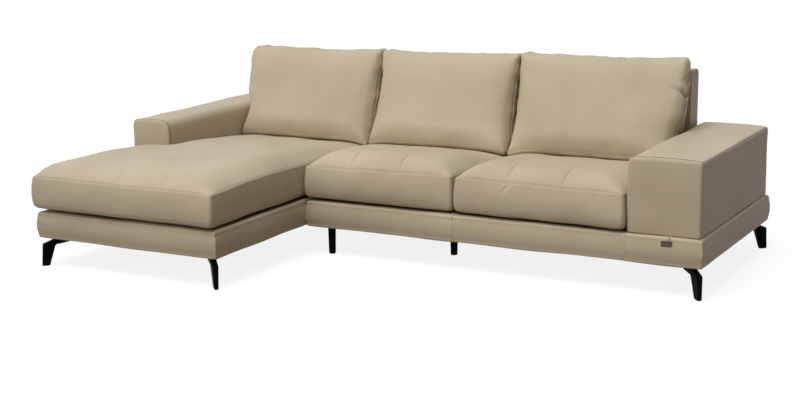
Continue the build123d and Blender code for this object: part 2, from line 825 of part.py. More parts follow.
for leg_name, leg_corner in blade_corners.items():
    blade_leg(leg_name, leg_corner)

with BuildPart() as blade_leg_glides:
    for corner_x, corner_y, dir_x, dir_y in blade_corners.values():
        inward = Vector(dir_x, dir_y, 0) / sqrt(2)
        with BuildSketch(Plane(origin=(corner_x, corner_y, 0), x_dir=inward, z_dir=(0, 0, 1))):
            with Locations((blade_foot_setback + blade_foot_width / 2, 0)):
                Rectangle(blade_foot_width - 2 * glide_inset, blade_foot_thickness - 2 * glide_inset)
        extrude(amount=glide_thickness)
save(blade_leg_glides, "blade_leg_glides")


# Round support legs with a stud into the frame
for leg_name, (leg_x, leg_y) in post_legs.items():
    with BuildPart() as post_leg:
        with Locations((leg_x, leg_y, (glide_thickness + z_base) / 2)):
            Cone(post_leg_foot, post_leg_top, z_base - glide_thickness)
        with Locations((leg_x, leg_y, z_base + stud_length / 2)):
            Cylinder(stud_radius, stud_length)
    save(post_leg, leg_name)

with BuildPart() as support_leg_glides:
    with Locations(*[(leg_x, leg_y, glide_thickness / 2) for leg_x, leg_y in post_legs.values()]):
        Cylinder(post_leg_foot - glide_inset, glide_thickness)
save(support_leg_glides, "support_leg_glides")

with BuildPart() as leg_screws:
    fasteners(
        chaise_leg_screws + main_leg_screws,
        screw_radius,
        screw_head_radius,
        screw_head_height,
        z_rail + screw_depth,
        z_base - flange_thickness,
        False,
    )
save(leg_screws, "leg_screws")

# Plates that couple the two modules from below
with BuildPart() as coupling_plates:
    x0, x1 = x_chaise - rail_middle - plate_margin, x_main + rail_middle + plate_margin
    for row in plate_rows:
        y0, y1 = row - plate_width / 2, row + plate_width / 2
        board(x0, x1, y0, y1, z_base - plate_thickness, z_base)
    plate_holes = chaise_plate_screws + main_plate_screws
    drill(plate_holes, screw_radius + hole_clearance, z_base - plate_thickness, z_base)
save(coupling_plates, "coupling_plates")

with BuildPart() as coupling_screws:
    fasteners(
        chaise_plate_screws + main_plate_screws,
        screw_radius,
        screw_head_radius,
        screw_head_height,
        z_rail + screw_depth,
        z_base - plate_thickness,
        False,
    )
save(coupling_screws, "coupling_screws")
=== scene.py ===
"""Looks of the leather corner sofa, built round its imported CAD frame.

Metres. +X runs to the right as seen from the front, the front faces -Y and +Z is up.
"""

import logging
import math
from collections.abc import Sequence
from dataclasses import dataclass
from enum import Enum
from functools import cache

import bpy
import numpy as np
from mathutils import Matrix, Vector
from mathutils.bvhtree import BVHTree
from mathutils.interpolate import poly_3d_calc


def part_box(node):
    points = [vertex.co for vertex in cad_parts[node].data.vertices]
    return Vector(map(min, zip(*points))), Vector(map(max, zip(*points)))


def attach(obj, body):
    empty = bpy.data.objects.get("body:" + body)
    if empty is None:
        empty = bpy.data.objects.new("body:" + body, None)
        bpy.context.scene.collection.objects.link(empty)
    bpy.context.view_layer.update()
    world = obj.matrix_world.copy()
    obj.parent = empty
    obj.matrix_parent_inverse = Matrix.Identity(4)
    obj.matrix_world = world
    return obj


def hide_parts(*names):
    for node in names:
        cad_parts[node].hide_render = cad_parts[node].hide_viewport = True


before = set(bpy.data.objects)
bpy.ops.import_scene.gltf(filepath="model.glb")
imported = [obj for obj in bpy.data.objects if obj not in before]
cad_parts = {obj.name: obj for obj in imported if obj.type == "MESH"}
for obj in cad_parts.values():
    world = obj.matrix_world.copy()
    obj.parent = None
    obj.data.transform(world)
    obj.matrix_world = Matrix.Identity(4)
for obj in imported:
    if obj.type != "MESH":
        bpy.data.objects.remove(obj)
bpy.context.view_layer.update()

log = logging.getLogger("sofa")
Array = np.ndarray
Piece = bpy.types.Object
Node = bpy.types.Node
NodeTree = bpy.types.NodeTree
Socket = bpy.types.NodeSocket
Triple = tuple[float, float, float]
# What inputs of a shader node get, by their names or numbers
Inputs = dict[int | str, object]

FRAME_BODY = "sofa_frame"
# Distances from an edge or a seam at which grid lines crowd together
LADDER = (0.0, 0.002, 0.0042, 0.007, 0.011, 0.017, 0.026)
CLOSEST_LINES = 0.0012
# Places nearer than this are one place, and the smallest length and normal to divide by
TOUCH = 1e-6
TINY = 1e-9
NO_NORMAL = 1e-12
# Farther away than any seam reaches
FAR = 9.0
# The cloth simulation: air pressure, last frame and how often its movement is evened out
PRESSURE = 4.0
LAST_FRAME = 20
SMOOTHING_ROUNDS = 6
# The hide in it: steps in a frame, and stiffness against pulling and bending
CLOTH_STEPS = 6
PULL_STIFFNESS = 20
BEND_STIFFNESS = 1.5
# A stitch: places along it as shares of the pitch, their height over the hide, and its thread
STITCH_PLACES = np.array([0.06, 0.2, 0.5, 0.66])
STITCH_HEIGHTS = np.array([-0.0002, 0.0003, 0.0003, -0.0002])
THREAD_RADIUS = 0.0006
THREAD_SIDES = 6


class Side(Enum):
    """The four sides of a base, with the way along each as its band runs."""

    FRONT = (1, 0)
    RIGHT = (0, 1)
    REAR = (-1, 0)
    LEFT = (0, -1)


class End(Enum):
    """Which end of the sofa an arm stands at, as the sign of its way out along X."""

    LEFT = -1
    RIGHT = 1


def link(name: str, data: bpy.types.ID) -> Piece:
    """Adds an object to the scene.

    Args:
        name: Its name.
        data: Its mesh, light or camera.

    Returns:
        The new object.
    """
    made = bpy.data.objects.new(name, data)
    bpy.context.scene.collection.objects.link(made)
    return made


# Shapes


@dataclass
class Draft:
    """The points and faces of a piece while it is shaped.

    Attributes:
        points: Shaped places, one row a point.
        quads: Four point numbers a row, seen anticlockwise from outside.
        rest: The same points on the plain block that the piece is shaped from.
        crease: How deep each point lies in a seam or fold, from 0 to 1, which the leather paints as
            shade.
    """

    points: Array
    quads: Array
    rest: Array
    crease: Array

    def normals(self) -> Array:
        """Averages the normals of the faces round each point.

        Returns:
            The unit normals.
        """
        a, b, c, d = (self.points[self.quads[:, k]] for k in range(4))
        across = np.cross(c - a, d - b)
        total = np.zeros_like(self.points)
        for k in range(4):
            np.add.at(total, self.quads[:, k], across)
        return total / np.maximum(np.linalg.norm(total, axis=1, keepdims=True), NO_NORMAL)

    def push(self, amount: Array) -> None:
        """Moves each point along its normal by its amount."""
        self.points = self.points + self.normals() * amount[:, None]

    def shade(self, depth: Array) -> None:
        """Paints shade on the points that a seam or fold of this depth runs through."""
        self.crease = np.maximum(self.crease, unit(depth))

    def edges(self) -> Array:
        """Returns the pairs of points that share an edge, each pair once."""
        pairs = np.concatenate([self.quads[:, [k, (k + 1) % 4]] for k in range(4)])
        return np.unique(np.sort(pairs, axis=1), axis=0)

    def piece(self, name: str, finish: "Finish") -> Piece:
        """Makes a smooth mesh object of the draft.

        Args:
            name: The piece's name.
            finish: What it is made of.

        Returns:
            The new object, linked to the scene.
        """
        mesh = bpy.data.meshes.new(name)
        mesh.from_pydata(self.points.tolist(), [], self.quads.tolist())
        mesh.validate()
        mesh.shade_smooth()
        # The crease layer carries the painted shade of seams and folds to the leather's colour.
        layer = mesh.attributes.new("crease", "FLOAT", "POINT")
        layer.data.foreach_set("value", self.crease.astype(np.float32))
        mesh.materials.append(finish.material())
        return link(name, mesh)


def join(drafts: Sequence[Draft]) -> Draft:
    """Joins drafts.

    Args:
        drafts: The drafts.

    Returns:
        One draft with all their points and faces.
    """
    starts = np.cumsum([0] + [len(d.points) for d in drafts[:-1]])
    return Draft(
        np.concatenate([d.points for d in drafts]),
        np.concatenate([d.quads + s for d, s in zip(drafts, starts)]),
        np.concatenate([d.rest for d in drafts]),
        np.concatenate([d.crease for d in drafts]),
    )


def graded(low: float, high: float, step: float, marks: Sequence[float] = ()) -> Array:
    """Grid lines from low to high that crowd together near some places.

    Args:
        low: The first line.
        high: The last line.
        step: The pitch away from the marks.
        marks: Places that get the ladder's closer lines on both sides.

    Returns:
        The lines' places, rising.
    """
    count = max(2, round((high - low) / step) + 1)
    reach = LADDER[-1] + step * 0.3
    lines = [v for v in np.linspace(low, high, count) if all(abs(v - m) > reach for m in marks)]
    lines += [mark + way * rung for mark in marks for rung in LADDER for way in (-1, 1)]
    kept = [low]
    for line in sorted(lines):
        if line - kept[-1] > CLOSEST_LINES and high - line > CLOSEST_LINES:
            kept.append(line)
    return np.array([*kept, high])


def prism(
    us: Array, vs: Array, ws: Array, notch: tuple[float, float] | None = None
) -> tuple[Array, Array]:
    """The skin of an upright block of grid cells.

    Args:
        us: Lines along the first axis.
        vs: Lines along the second axis.
        ws: Lines along the third axis, from the foot to the top.
        notch: Cells below the first value along u and above the second along v are left out.

    Returns:
        The points and the quads of the skin.
    """
    top = len(ws) - 1
    inside = np.ones((len(us) - 1, len(vs) - 1), bool)
    if notch:
        middle_u, middle_v = (us[1:] + us[:-1]) / 2, (vs[1:] + vs[:-1]) / 2
        inside = ~((middle_u[:, None] < notch[0]) & (middle_v[None, :] > notch[1]))
    found: dict[tuple[int, int, int], int] = {}

    def number(i: int, j: int, k: int) -> int:
        """Returns the number of a grid point, which is given on its first use."""
        return found.setdefault((i, j, k), len(found))

    def filled(i: int, j: int) -> bool:
        """Returns whether there is a cell there."""
        return 0 <= i < len(us) - 1 and 0 <= j < len(vs) - 1 and bool(inside[i, j])

    quads = []
    for i, j in np.argwhere(inside).tolist():
        cell = [(i, j), (i + 1, j), (i + 1, j + 1), (i, j + 1)]
        quads.append([number(*spot, top) for spot in cell])
        quads.append([number(*spot, 0) for spot in (cell[0], *cell[:0:-1])])
        walls = (
            (filled(i - 1, j), cell[3], cell[0]),
            (filled(i + 1, j), cell[1], cell[2]),
            (filled(i, j - 1), cell[0], cell[1]),
            (filled(i, j + 1), cell[2], cell[3]),
        )
        for neighbour, a, b in walls:
            if not neighbour:
                for k in range(top):
                    wall = ((*a, k), (*b, k), (*b, k + 1), (*a, k + 1))
                    quads.append([number(*spot) for spot in wall])
    places = np.array([(us[i], vs[j], ws[k]) for i, j, k in found])
    return places, np.array(quads)


def unit(values: Array) -> Array:
    """Returns the values with those below 0 and above 1 cut off."""
    return np.clip(values, 0, 1)


def quarter(distance: Array, height: float, spread: float) -> Array:
    """How far an elliptical quarter round draws a side in, at a distance from its end face."""
    lack = unit(1 - distance / height)
    return spread * (1 - np.sqrt(1 - lack * lack))


def curve(places: Sequence[float], values: Sequence[float], at: Array) -> Array:
    """Reads a smooth curve through some places and values.

    Args:
        places: Rising places along the curve.
        values: The curve's value at each place.
        at: Where to read it.

    Returns:
        The curve's values there.
    """
    x, y = np.asarray(places, float), np.asarray(values, float)
    slope = np.gradient(y, x)
    i = np.clip(np.searchsorted(x, at) - 1, 0, len(x) - 2)
    width = x[i + 1] - x[i]
    t = unit((at - x[i]) / width)
    start = (1 + 2 * t) * (1 - t) ** 2 * y[i] + t * (1 - t) ** 2 * width * slope[i]
    return start + t * t * (3 - 2 * t) * y[i + 1] + t * t * (t - 1) * width * slope[i + 1]


def shoulder(distance: Array, width: float, power: float = 2.3) -> Array:
    """Rises from 0 at an edge to 1 at a width from it, steepest at the edge."""
    return 1 - (1 - unit(distance / width)) ** power


def bell(distance: Array, width: float) -> Array:
    """Falls smoothly from 1 at no distance to almost 0 at twice the width."""
    return np.exp(-((distance / width) ** 2))


def ease(share: Array) -> Array:
    """Rises smoothly from 0 to 1, level at both ends."""
    return share * share * (3 - 2 * share)


def ripples(places: Array, wave: float, seed: int, count: int = 14) -> Array:
    """Seeded waves that run in many directions, about from -1 to 1.

    Args:
        places: One row a point.
        wave: The usual length of a wave.
        seed: Chooses the waves.
        count: How many waves are added up.

    Returns:
        The sum at each point.
    """
    chooser = np.random.default_rng(seed)
    total = np.zeros(len(places))
    for _ in range(count):
        way = chooser.normal(size=places.shape[1])
        way *= 2 * math.pi / (wave * chooser.uniform(0.7, 1.6) * np.linalg.norm(way))
        total += np.sin(places @ way + chooser.uniform(0, 2 * math.pi))
    return total / math.sqrt(count)


@dataclass(frozen=True)
class Corner:
    """A block's edge along its axis: its place, its way out of the block and its radius."""

    u: float
    v: float
    out_u: int
    out_v: int
    radius: float


def round_corners(
    flat: Array, corners: Sequence[Corner], drawn_u: Array, drawn_v: Array | None = None
) -> None:
    """Rounds the edges of a block along its axis, in place.

    Args:
        flat: The two places of each point across the axis.
        corners: The edges.
        drawn_u: How far the block's sides are already drawn in along the first place.
        drawn_v: The same along the second place, if it differs.
    """
    drawn_v = drawn_u if drawn_v is None else drawn_v
    for corner in corners:
        du = corner.out_u * (flat[:, 0] - corner.u) + drawn_u + corner.radius
        dv = corner.out_v * (flat[:, 1] - corner.v) + drawn_v + corner.radius
        near = (du > TINY) & (dv > TINY)
        shrink = np.maximum(du, dv)[near] / np.hypot(du, dv)[near] - 1
        flat[near, 0] += corner.out_u * du[near] * shrink
        flat[near, 1] += corner.out_v * dv[near] * shrink


def draw_in(values: Array, stops: Sequence[float], ways: Sequence[float], drawn: Array) -> Array:
    """Moves places inwards from the stops, each by its way times the drawn amount."""
    return values + drawn * np.interp(values, stops, ways)


def draw_outline(
    rest: Array,
    box: tuple[Vector, Vector],
    notch: tuple[float, float] | None,
    drawn_x: Array,
    drawn_y: Array,
) -> Array:
    """Draws the sides of a block in, also those of its notch.

    Args:
        rest: Points of the plain block.
        box: The block's lowest and highest corners.
        notch: The corner that an arm cuts away, if any.
        drawn_x: How far the sides are drawn in across.
        drawn_y: The same from front to rear.

    Returns:
        Each point's place as seen from above.
    """
    low, high = box
    stops_x, ways_x = [low.x, high.x], [1, -1]
    stops_y, ways_y = [low.y, high.y], [1, -1]
    if notch:
        stops_x, ways_x = [low.x, notch[0], high.x], [1, 1, -1]
        stops_y, ways_y = [low.y, notch[1], high.y], [1, -1, -1]
    across = draw_in(rest[:, 0], stops_x, ways_x, drawn_x)
    return np.stack([across, draw_in(rest[:, 1], stops_y, ways_y, drawn_y)], axis=1)


def tube(path: Array, radius: float, sides: int = 8) -> Draft:
    """A closed round bead along a path.

    Args:
        path: The points of its middle line.
        radius: Half its thickness.
        sides: How many sides its section has.

    Returns:
        The bead's draft, with every point marked as a crease, that is with full painted shade.
    """
    ahead = np.gradient(path, axis=0)
    ahead /= np.linalg.norm(ahead, axis=1, keepdims=True)
    guide = np.array([0.31, 0.53, 0.79])
    across = np.cross(ahead, guide)
    across /= np.linalg.norm(across, axis=1, keepdims=True)
    up = np.cross(across, ahead)
    turns = np.linspace(0, 2 * math.pi, sides, endpoint=False)
    swell = np.ones(len(path))
    swell[[0, -1]] = 0.4
    rings = (
        path[:, None, :]
        + radius * swell[:, None, None] * np.cos(turns)[None, :, None] * across[:, None, :]
        + radius * swell[:, None, None] * np.sin(turns)[None, :, None] * up[:, None, :]
    )
    points = rings.reshape(-1, 3)
    quads = []
    for i in range(len(path) - 1):
        for k in range(sides):
            n = (k + 1) % sides
            quads.append([i * sides + n, i * sides + k, (i + 1) * sides + k, (i + 1) * sides + n])
    for start, turn in ((0, 1), ((len(path) - 1) * sides, -1)):
        for k in range(1, sides // 2):
            cap = [start + k - 1, start + k, start + sides - 1 - k, start + (sides - k) % sides]
            quads.append(cap[::turn])
    return Draft(points, np.array(quads), points.copy(), np.ones(len(points)))


def stitches(path: Array, normals: Array, pitch: float = 0.0085) -> Draft:
    """A row of thread stitches along a path on a surface.

    Args:
        path: Points on the surface.
        normals: The surface's normals there.
        pitch: From one stitch to the next.

    Returns:
        The draft of all the stitches.
    """
    run = np.concatenate([[0], np.cumsum(np.linalg.norm(np.diff(path, axis=0), axis=1))])
    made = []
    for start in np.arange(0, run[-1] - pitch, pitch):
        along = start + pitch * STITCH_PLACES
        line = np.stack([np.interp(along, run, path[:, k]) for k in range(3)], axis=1)
        facing = np.stack([np.interp(along, run, normals[:, k]) for k in range(3)], axis=1)
        thread = line + facing * STITCH_HEIGHTS[:, None]
        made.append(tube(thread, THREAD_RADIUS, THREAD_SIDES))
    row = join(made)
    row.crease[:] = 0
    return row


# Softness


def inflate(draft: Draft, held: Array, slack: float) -> Array:
    """Blows a closed cover up as cloth for a few frames.

    Args:
        draft: The cover.
        held: How firmly each point is held, from 0 to 1.
        slack: How much longer than its shape the cover is cut.

    Returns:
        How far each point moved.
    """
    mesh = bpy.data.meshes.new("cover")
    mesh.from_pydata(draft.points.tolist(), [], draft.quads.tolist())
    cover = link("cover", mesh)
    group = cover.vertex_groups.new(name="held")
    for number, weight in enumerate(held.tolist()):
        if weight > 0:
            group.add([number], weight, "REPLACE")
    cloth = cover.modifiers.new("cloth", "CLOTH")
    settings = cloth.settings
    settings.quality = CLOTH_STEPS
    settings.tension_stiffness = settings.compression_stiffness = PULL_STIFFNESS
    settings.bending_stiffness = BEND_STIFFNESS
    settings.use_pressure = True
    settings.uniform_pressure_force = PRESSURE
    settings.shrink_min = -slack
    settings.vertex_group_mass = "held"
    settings.effector_weights.gravity = 0
    cloth.point_cache.frame_start, cloth.point_cache.frame_end = 1, LAST_FRAME
    for number in range(1, LAST_FRAME + 1):
        bpy.context.scene.frame_set(number)
    settled = cover.evaluated_get(bpy.context.evaluated_depsgraph_get()).data
    places = np.empty(len(settled.vertices) * 3, np.float32)
    settled.vertices.foreach_get("co", places)
    bpy.data.objects.remove(cover)
    bpy.data.meshes.remove(mesh)
    bpy.context.scene.frame_set(1)
    return places.reshape(-1, 3).astype(float) - draft.points


def carry_over(
    coarse: Draft, moved: Array, fine: Draft, cap: float, freedom: Triple
) -> None:
    """Moves a fine draft as a coarse one of the same shape was moved.

    Args:
        coarse: The draft that was simulated.
        moved: How far each of its points moved.
        fine: The draft to move.
        cap: The farthest that a point may move.
        freedom: The share of the movement that is kept along each axis.
    """
    moved = moved * np.array(freedom)
    length = np.linalg.norm(moved, axis=1, keepdims=True)
    capped = moved * np.tanh(length / cap) * cap / np.maximum(length, TINY)
    tree = BVHTree.FromPolygons(coarse.points.tolist(), coarse.quads.tolist())
    step = np.zeros_like(fine.points)
    for number, place in enumerate(fine.points):
        spot, _, face, _ = tree.find_nearest(place)
        ring = coarse.quads[face]
        weights = poly_3d_calc([Vector(coarse.points[k]) for k in ring], spot)
        step[number] = np.asarray(weights) @ capped[ring]
    pairs = fine.edges()
    count = np.bincount(pairs.ravel(), minlength=len(step))[:, None]
    for _ in range(SMOOTHING_ROUNDS):
        total = np.zeros_like(step)
        np.add.at(total, pairs[:, 0], step[pairs[:, 1]])
        np.add.at(total, pairs[:, 1], step[pairs[:, 0]])
        step = (step + total / count) / 2
    fine.points = fine.points + step


# Finishes


class Tree:
    """A short way to add nodes to one node tree and to join them."""

    def __init__(self, tree: NodeTree) -> None:
        """Takes the nodes and links of a node tree."""
        self.nodes, self.links = tree.nodes, tree.links

    def feed(self, node: Node, inputs: Inputs) -> None:
        """Sets some inputs of a node.

        Args:
            node: The node.
            inputs: A value or another node's output for each input.
        """
        for title, value in inputs.items():
            if isinstance(value, Socket):
                self.links.new(value, node.inputs[title])
            else:
                node.inputs[title].default_value = value

    def add(self, kind: str, inputs: Inputs | None = None, **settings: object) -> Node:
        """Adds a node.

        Args:
            kind: The node's type name without its ShaderNode start.
            inputs: What some of its inputs get.
            settings: Values of its own properties.

        Returns:
            The new node.
        """
        node = self.nodes.new(kind if kind.startswith("Node") else f"ShaderNode{kind}")
        for name, value in settings.items():
            setattr(node, name, value)
        self.feed(node, inputs or {})
        return node

    def maths(self, operation: str, first: object, second: object) -> Socket:
        """Adds a sum of two values or sockets and returns its output."""
        return self.add("Math", {0: first, 1: second}, operation=operation).outputs[0]

    def spread(self, value: Socket, low: float, high: float, *ends: float) -> Socket:
        """Adds a map from low and high to two other ends and returns its output."""
        span = {"From Min": low, "From Max": high, "To Min": ends[0], "To Max": ends[1]}
        return self.add("MapRange", {"Value": value, **span}).outputs["Result"]

    def blend(self, share: Socket, first: object, second: object) -> Socket:
        """Adds a mix of two colours or colour sockets and returns its output."""
        a, b = (c if isinstance(c, Socket) else (*c, 1) for c in (first, second))
        return self.add("Mix", {"Factor": share, 6: a, 7: b}, data_type="RGBA").outputs[2]


def group_tree(name: str, inputs: dict[str, float], outputs: Sequence[str]) -> tuple:
    """Starts a shader node group that takes a place and some values and gives values.

    Args:
        name: The group's name.
        inputs: Its value inputs with their defaults.
        outputs: Its value outputs.

    Returns:
        The group, its short tree, its input node and its output node.
    """
    group = bpy.data.node_groups.new(name, "ShaderNodeTree")
    face = group.interface
    face.new_socket("Place", in_out="INPUT", socket_type="NodeSocketVector")
    for title, value in inputs.items():
        socket = face.new_socket(title, in_out="INPUT", socket_type="NodeSocketFloat")
        socket.default_value = value
    for title in outputs:
        face.new_socket(title, in_out="OUTPUT", socket_type="NodeSocketFloat")
    tree = Tree(group)
    return group, tree, tree.add("NodeGroupInput"), tree.add("NodeGroupOutput")


@cache
def grain_effect() -> NodeTree:
    """The pebbled grain of hide: rounded cells parted by fine valleys.

    Returns:
        The node group.
    """
    values = {"Scale": 420.0, "Fineness": 2.3}
    group, tree, source, sink = group_tree("hide_grain", values, ("Height", "Valley"))
    place, scale = source.outputs["Place"], source.outputs["Scale"]
    warp = tree.add("TexNoise", {"Vector": place, "Scale": 160.0}).outputs["Color"]
    nudge = tree.add("VectorMath", {0: warp, "Scale": 0.002}, operation="SCALE").outputs[0]
    warped = tree.add("VectorMath", {0: place, 1: nudge}, operation="ADD").outputs[0]
    inputs = {"Vector": warped, "Scale": scale}
    cells = tree.add("TexVoronoi", inputs, feature="DISTANCE_TO_EDGE")
    fine = tree.maths("MULTIPLY", scale, source.outputs["Fineness"])
    pores = tree.add("TexNoise", {"Vector": place, "Scale": fine})
    dome = tree.spread(cells.outputs["Distance"], 0.0, 0.28, 0.0, 1.0)
    rough = tree.maths("MULTIPLY", pores.outputs[0], 0.35)
    tree.feed(sink, {"Height": tree.maths("ADD", dome, rough)})
    tree.feed(sink, {"Valley": tree.maths("SUBTRACT", 1.0, dome)})
    return group


@cache
def mottle_effect() -> NodeTree:
    """Slow uneven tone, as in dyed hide or cloth: broad clouds with finer ones in them.

    Returns:
        The node group.
    """
    group, tree, source, sink = group_tree("mottle", {"Scale": 5.0}, ("Tone", "Fleck"))
    for title, factor, detail, low, high in (
        ("Tone", 1.0, 4.0, 0.3, 0.7),
        ("Fleck", 14.0, 3.0, 0.35, 0.75),
    ):
        scale = tree.maths("MULTIPLY", source.outputs["Scale"], factor)
        inputs = {"Vector": source.outputs["Place"], "Scale": scale, "Detail": detail}
        clouds = tree.add("TexNoise", inputs).outputs[0]
        tree.feed(sink, {title: tree.spread(clouds, low, high, 0.0, 1.0)})
    return group


@cache
def weave_effect() -> NodeTree:
    """Crossing threads along X and Y.

    Returns:
        The node group.
    """
    group, tree, source, sink = group_tree("weave", {"Scale": 700.0}, ("Height", "Gap"))
    split = tree.add("SeparateXYZ", {0: source.outputs["Place"]})
    waves = []
    for axis in ("X", "Y"):
        turn = tree.maths("MULTIPLY", split.outputs[axis], source.outputs["Scale"])
        waves.append(tree.maths("SINE", turn, 0.0))
    product = tree.maths("MULTIPLY", *waves)
    tree.feed(sink, {"Height": tree.spread(product, -1.0, 1.0, 0.0, 1.0)})
    tree.feed(sink, {"Gap": tree.spread(product, -0.2, 0.6, 1.0, 0.0)})
    return group


class Finish:
    """What a piece is made of. Each kind of finish builds its own material once."""

    made: dict[str, bpy.types.Material] = {}
    name: str = ""
    slot: str = ""

    def material(self) -> bpy.types.Material:
        """Makes the finish's material on its first use.

        Returns:
            The material.
        """
        if self.name not in self.made:
            material = bpy.data.materials.new(self.name)
            material.use_nodes = True
            tree = Tree(material.node_tree)
            self.fill(tree, material.node_tree.nodes["Principled BSDF"])
            self.made[self.name] = material
        return self.made[self.name]

    def fill(self, tree: Tree, shader: Node) -> None:
        """Adds the finish's nodes round the material's shader."""
        raise NotImplementedError

    def effect(self, tree: Tree, group: NodeTree, **values: float) -> Node:
        """Places a shared effect in the material, fed with the object's own coordinates."""
        spot = tree.add("TexCoord").outputs["Object"]
        return tree.add("Group", {"Place": spot, **values}, node_tree=group)

    def bump(self, tree: Tree, height: Socket, strength: float, depth: float) -> Socket:
        """Adds a bump by a height of this strength and depth and returns its normal."""
        inputs = {"Height": height, "Strength": strength, "Distance": depth}
        return tree.add("Bump", inputs).outputs["Normal"]


@dataclass(frozen=True)
class Leather(Finish):
    """Smooth grained hide with a soft gloss, with painted shade where it turns into a seam or fold.
    """

    name: str = "taupe_leather"
    slot: str = "leather"
    light: Triple = (0.575, 0.505, 0.378)
    deep: Triple = (0.500, 0.430, 0.312)
    # The seam colour is the painted shade of seams, folds and welts, and also the tone of the
    # grain's valleys.
    seam: Triple = (0.150, 0.118, 0.074)
    pore_tone: float = 0.16
    # How strongly the crease layer's painted shade darkens the hide.
    painted_shade_strength: float = 0.85
    gloss: tuple[float, float] = (0.47, 0.62)
    wear: float = 0.05
    mirror: float = 0.26
    sheen: tuple[float, float] = (0.06, 0.5)

    def fill(self, tree: Tree, shader: Node) -> None:
        """Adds clouds of tone, painted shade in seams and folds, grain and an uneven gloss.

        Args:
            tree: The material's tree.
            shader: Its shader.
        """
        mottle = self.effect(tree, mottle_effect(), Scale=3.2)
        grain = self.effect(tree, grain_effect(), Scale=430.0, Fineness=2.4)
        crease = tree.add("Attribute", attribute_name="crease")
        hide = tree.blend(mottle.outputs["Tone"], self.deep, self.light)
        valley = tree.maths("MULTIPLY", grain.outputs["Valley"], self.pore_tone)
        pores = tree.blend(valley, hide, self.seam)
        # Painted shade: the crease layer darkens the hide towards the seam colour.
        depth = tree.maths("MULTIPLY", crease.outputs["Fac"], self.painted_shade_strength)
        worn = tree.maths("MULTIPLY", mottle.outputs["Fleck"], -self.wear)
        gloss = tree.spread(grain.outputs["Valley"], 0.0, 1.0, *self.gloss)
        inputs = {
            "Base Color": tree.blend(depth, pores, self.seam),
            "Roughness": tree.maths("ADD", gloss, worn),
            "Normal": self.bump(tree, grain.outputs["Height"], 0.28, 0.0005),
            "Specular IOR Level": self.mirror,
            "Sheen Weight": self.sheen[0],
            "Sheen Roughness": self.sheen[1],
        }
        tree.feed(shader, inputs)


@dataclass(frozen=True)
class Thread(Finish):
    """Twisted sewing thread in the leather's tone."""

    name: str = "sewing_thread"
    slot: str = "leather"
    light: Triple = (0.46, 0.40, 0.29)
    dark: Triple = (0.30, 0.25, 0.17)

    def fill(self, tree: Tree, shader: Node) -> None:
        """Adds the twist's fine light and dark.

        Args:
            tree: The material's tree.
            shader: Its shader.
        """
        twist = self.effect(tree, mottle_effect(), Scale=260.0)
        tone = tree.blend(twist.outputs["Tone"], self.dark, self.light)
        rough = tree.spread(twist.outputs["Fleck"], 0, 1, 0.5, 0.75)
        tree.feed(shader, {"Base Color": tone, "Roughness": rough})


@dataclass(frozen=True)
class Coating(Finish):
    """A matt coated or moulded surface with a fine orange-peel texture."""

    name: str = "black_cast_metal"
    slot: str = "black_metal"
    light: Triple = (0.006, 0.005, 0.006)
    dark: Triple = (0.003, 0.0025, 0.003)
    gloss: tuple[float, float] = (0.42, 0.6)
    metal: float = 0.0
    texture: float = 900.0
    mirror: float = 0.02

    def fill(self, tree: Tree, shader: Node) -> None:
        """Adds uneven tone, gloss and texture.

        Args:
            tree: The material's tree.
            shader: Its shader.
        """
        mottle = self.effect(tree, mottle_effect(), Scale=22.0)
        peel = self.effect(tree, grain_effect(), Scale=self.texture)
        inputs = {
            "Base Color": tree.blend(mottle.outputs["Tone"], self.dark, self.light),
            "Roughness": tree.spread(mottle.outputs["Fleck"], 0, 1, *self.gloss),
            "Normal": self.bump(tree, peel.outputs["Height"], 0.12, 0.0003),
            "Metallic": self.metal,
            "Specular IOR Level": self.mirror,
        }
        tree.feed(shader, inputs)


@dataclass(frozen=True)
class Cloth(Finish):
    """Plain woven or felted cloth."""

    name: str = "deck_cloth"
    slot: str = "deck_cloth"
    light: Triple = (0.060, 0.055, 0.050)
    dark: Triple = (0.028, 0.026, 0.024)
    thread: float = 1500.0

    def fill(self, tree: Tree, shader: Node) -> None:
        """Adds threads, gaps and slow changes of tone.

        Args:
            tree: The material's tree.
            shader: Its shader.
        """
        weave = self.effect(tree, weave_effect(), Scale=self.thread)
        mottle = self.effect(tree, mottle_effect(), Scale=9.0)
        tone = tree.blend(mottle.outputs["Tone"], self.dark, self.light)
        gaps = tree.maths("MULTIPLY", weave.outputs["Gap"], 0.5)
        inputs = {
            "Base Color": tree.blend(gaps, tone, self.dark),
            "Roughness": tree.spread(mottle.outputs["Fleck"], 0, 1, 0.8, 0.95),
            "Normal": self.bump(tree, weave.outputs["Height"], 0.5, 0.0006),
            "Sheen Weight": 0.15,
        }
        tree.feed(shader, inputs)


@dataclass(frozen=True)
class Timber(Finish):
    """Sawn softwood with grain along the boards."""

    name: str = "frame_timber"
    slot: str = "timber"
    light: Triple = (0.56, 0.39, 0.22)
    dark: Triple = (0.33, 0.20, 0.10)

    def fill(self, tree: Tree, shader: Node) -> None:
        """Adds growth rings, streaks and saw marks.

        Args:
            tree: The material's tree.
            shader: Its shader.
        """
        mottle = self.effect(tree, mottle_effect(), Scale=6.0)
        waves = {"Scale": 38.0, "Distortion": 7.0, "Detail": 3.0}
        waves["Vector"] = tree.add("TexCoord").outputs["Object"]
        rings = tree.add("TexWave", waves, wave_type="BANDS", bands_direction="Z")
        grain = tree.blend(rings.outputs["Fac"], self.dark, self.light)
        share = tree.maths("MULTIPLY", mottle.outputs["Tone"], 0.4)
        inputs = {
            "Base Color": tree.blend(share, grain, self.light),
            "Roughness": tree.spread(mottle.outputs["Fleck"], 0, 1, 0.6, 0.8),
            "Normal": self.bump(tree, rings.outputs["Fac"], 0.3, 0.0004),
        }
        tree.feed(shader, inputs)


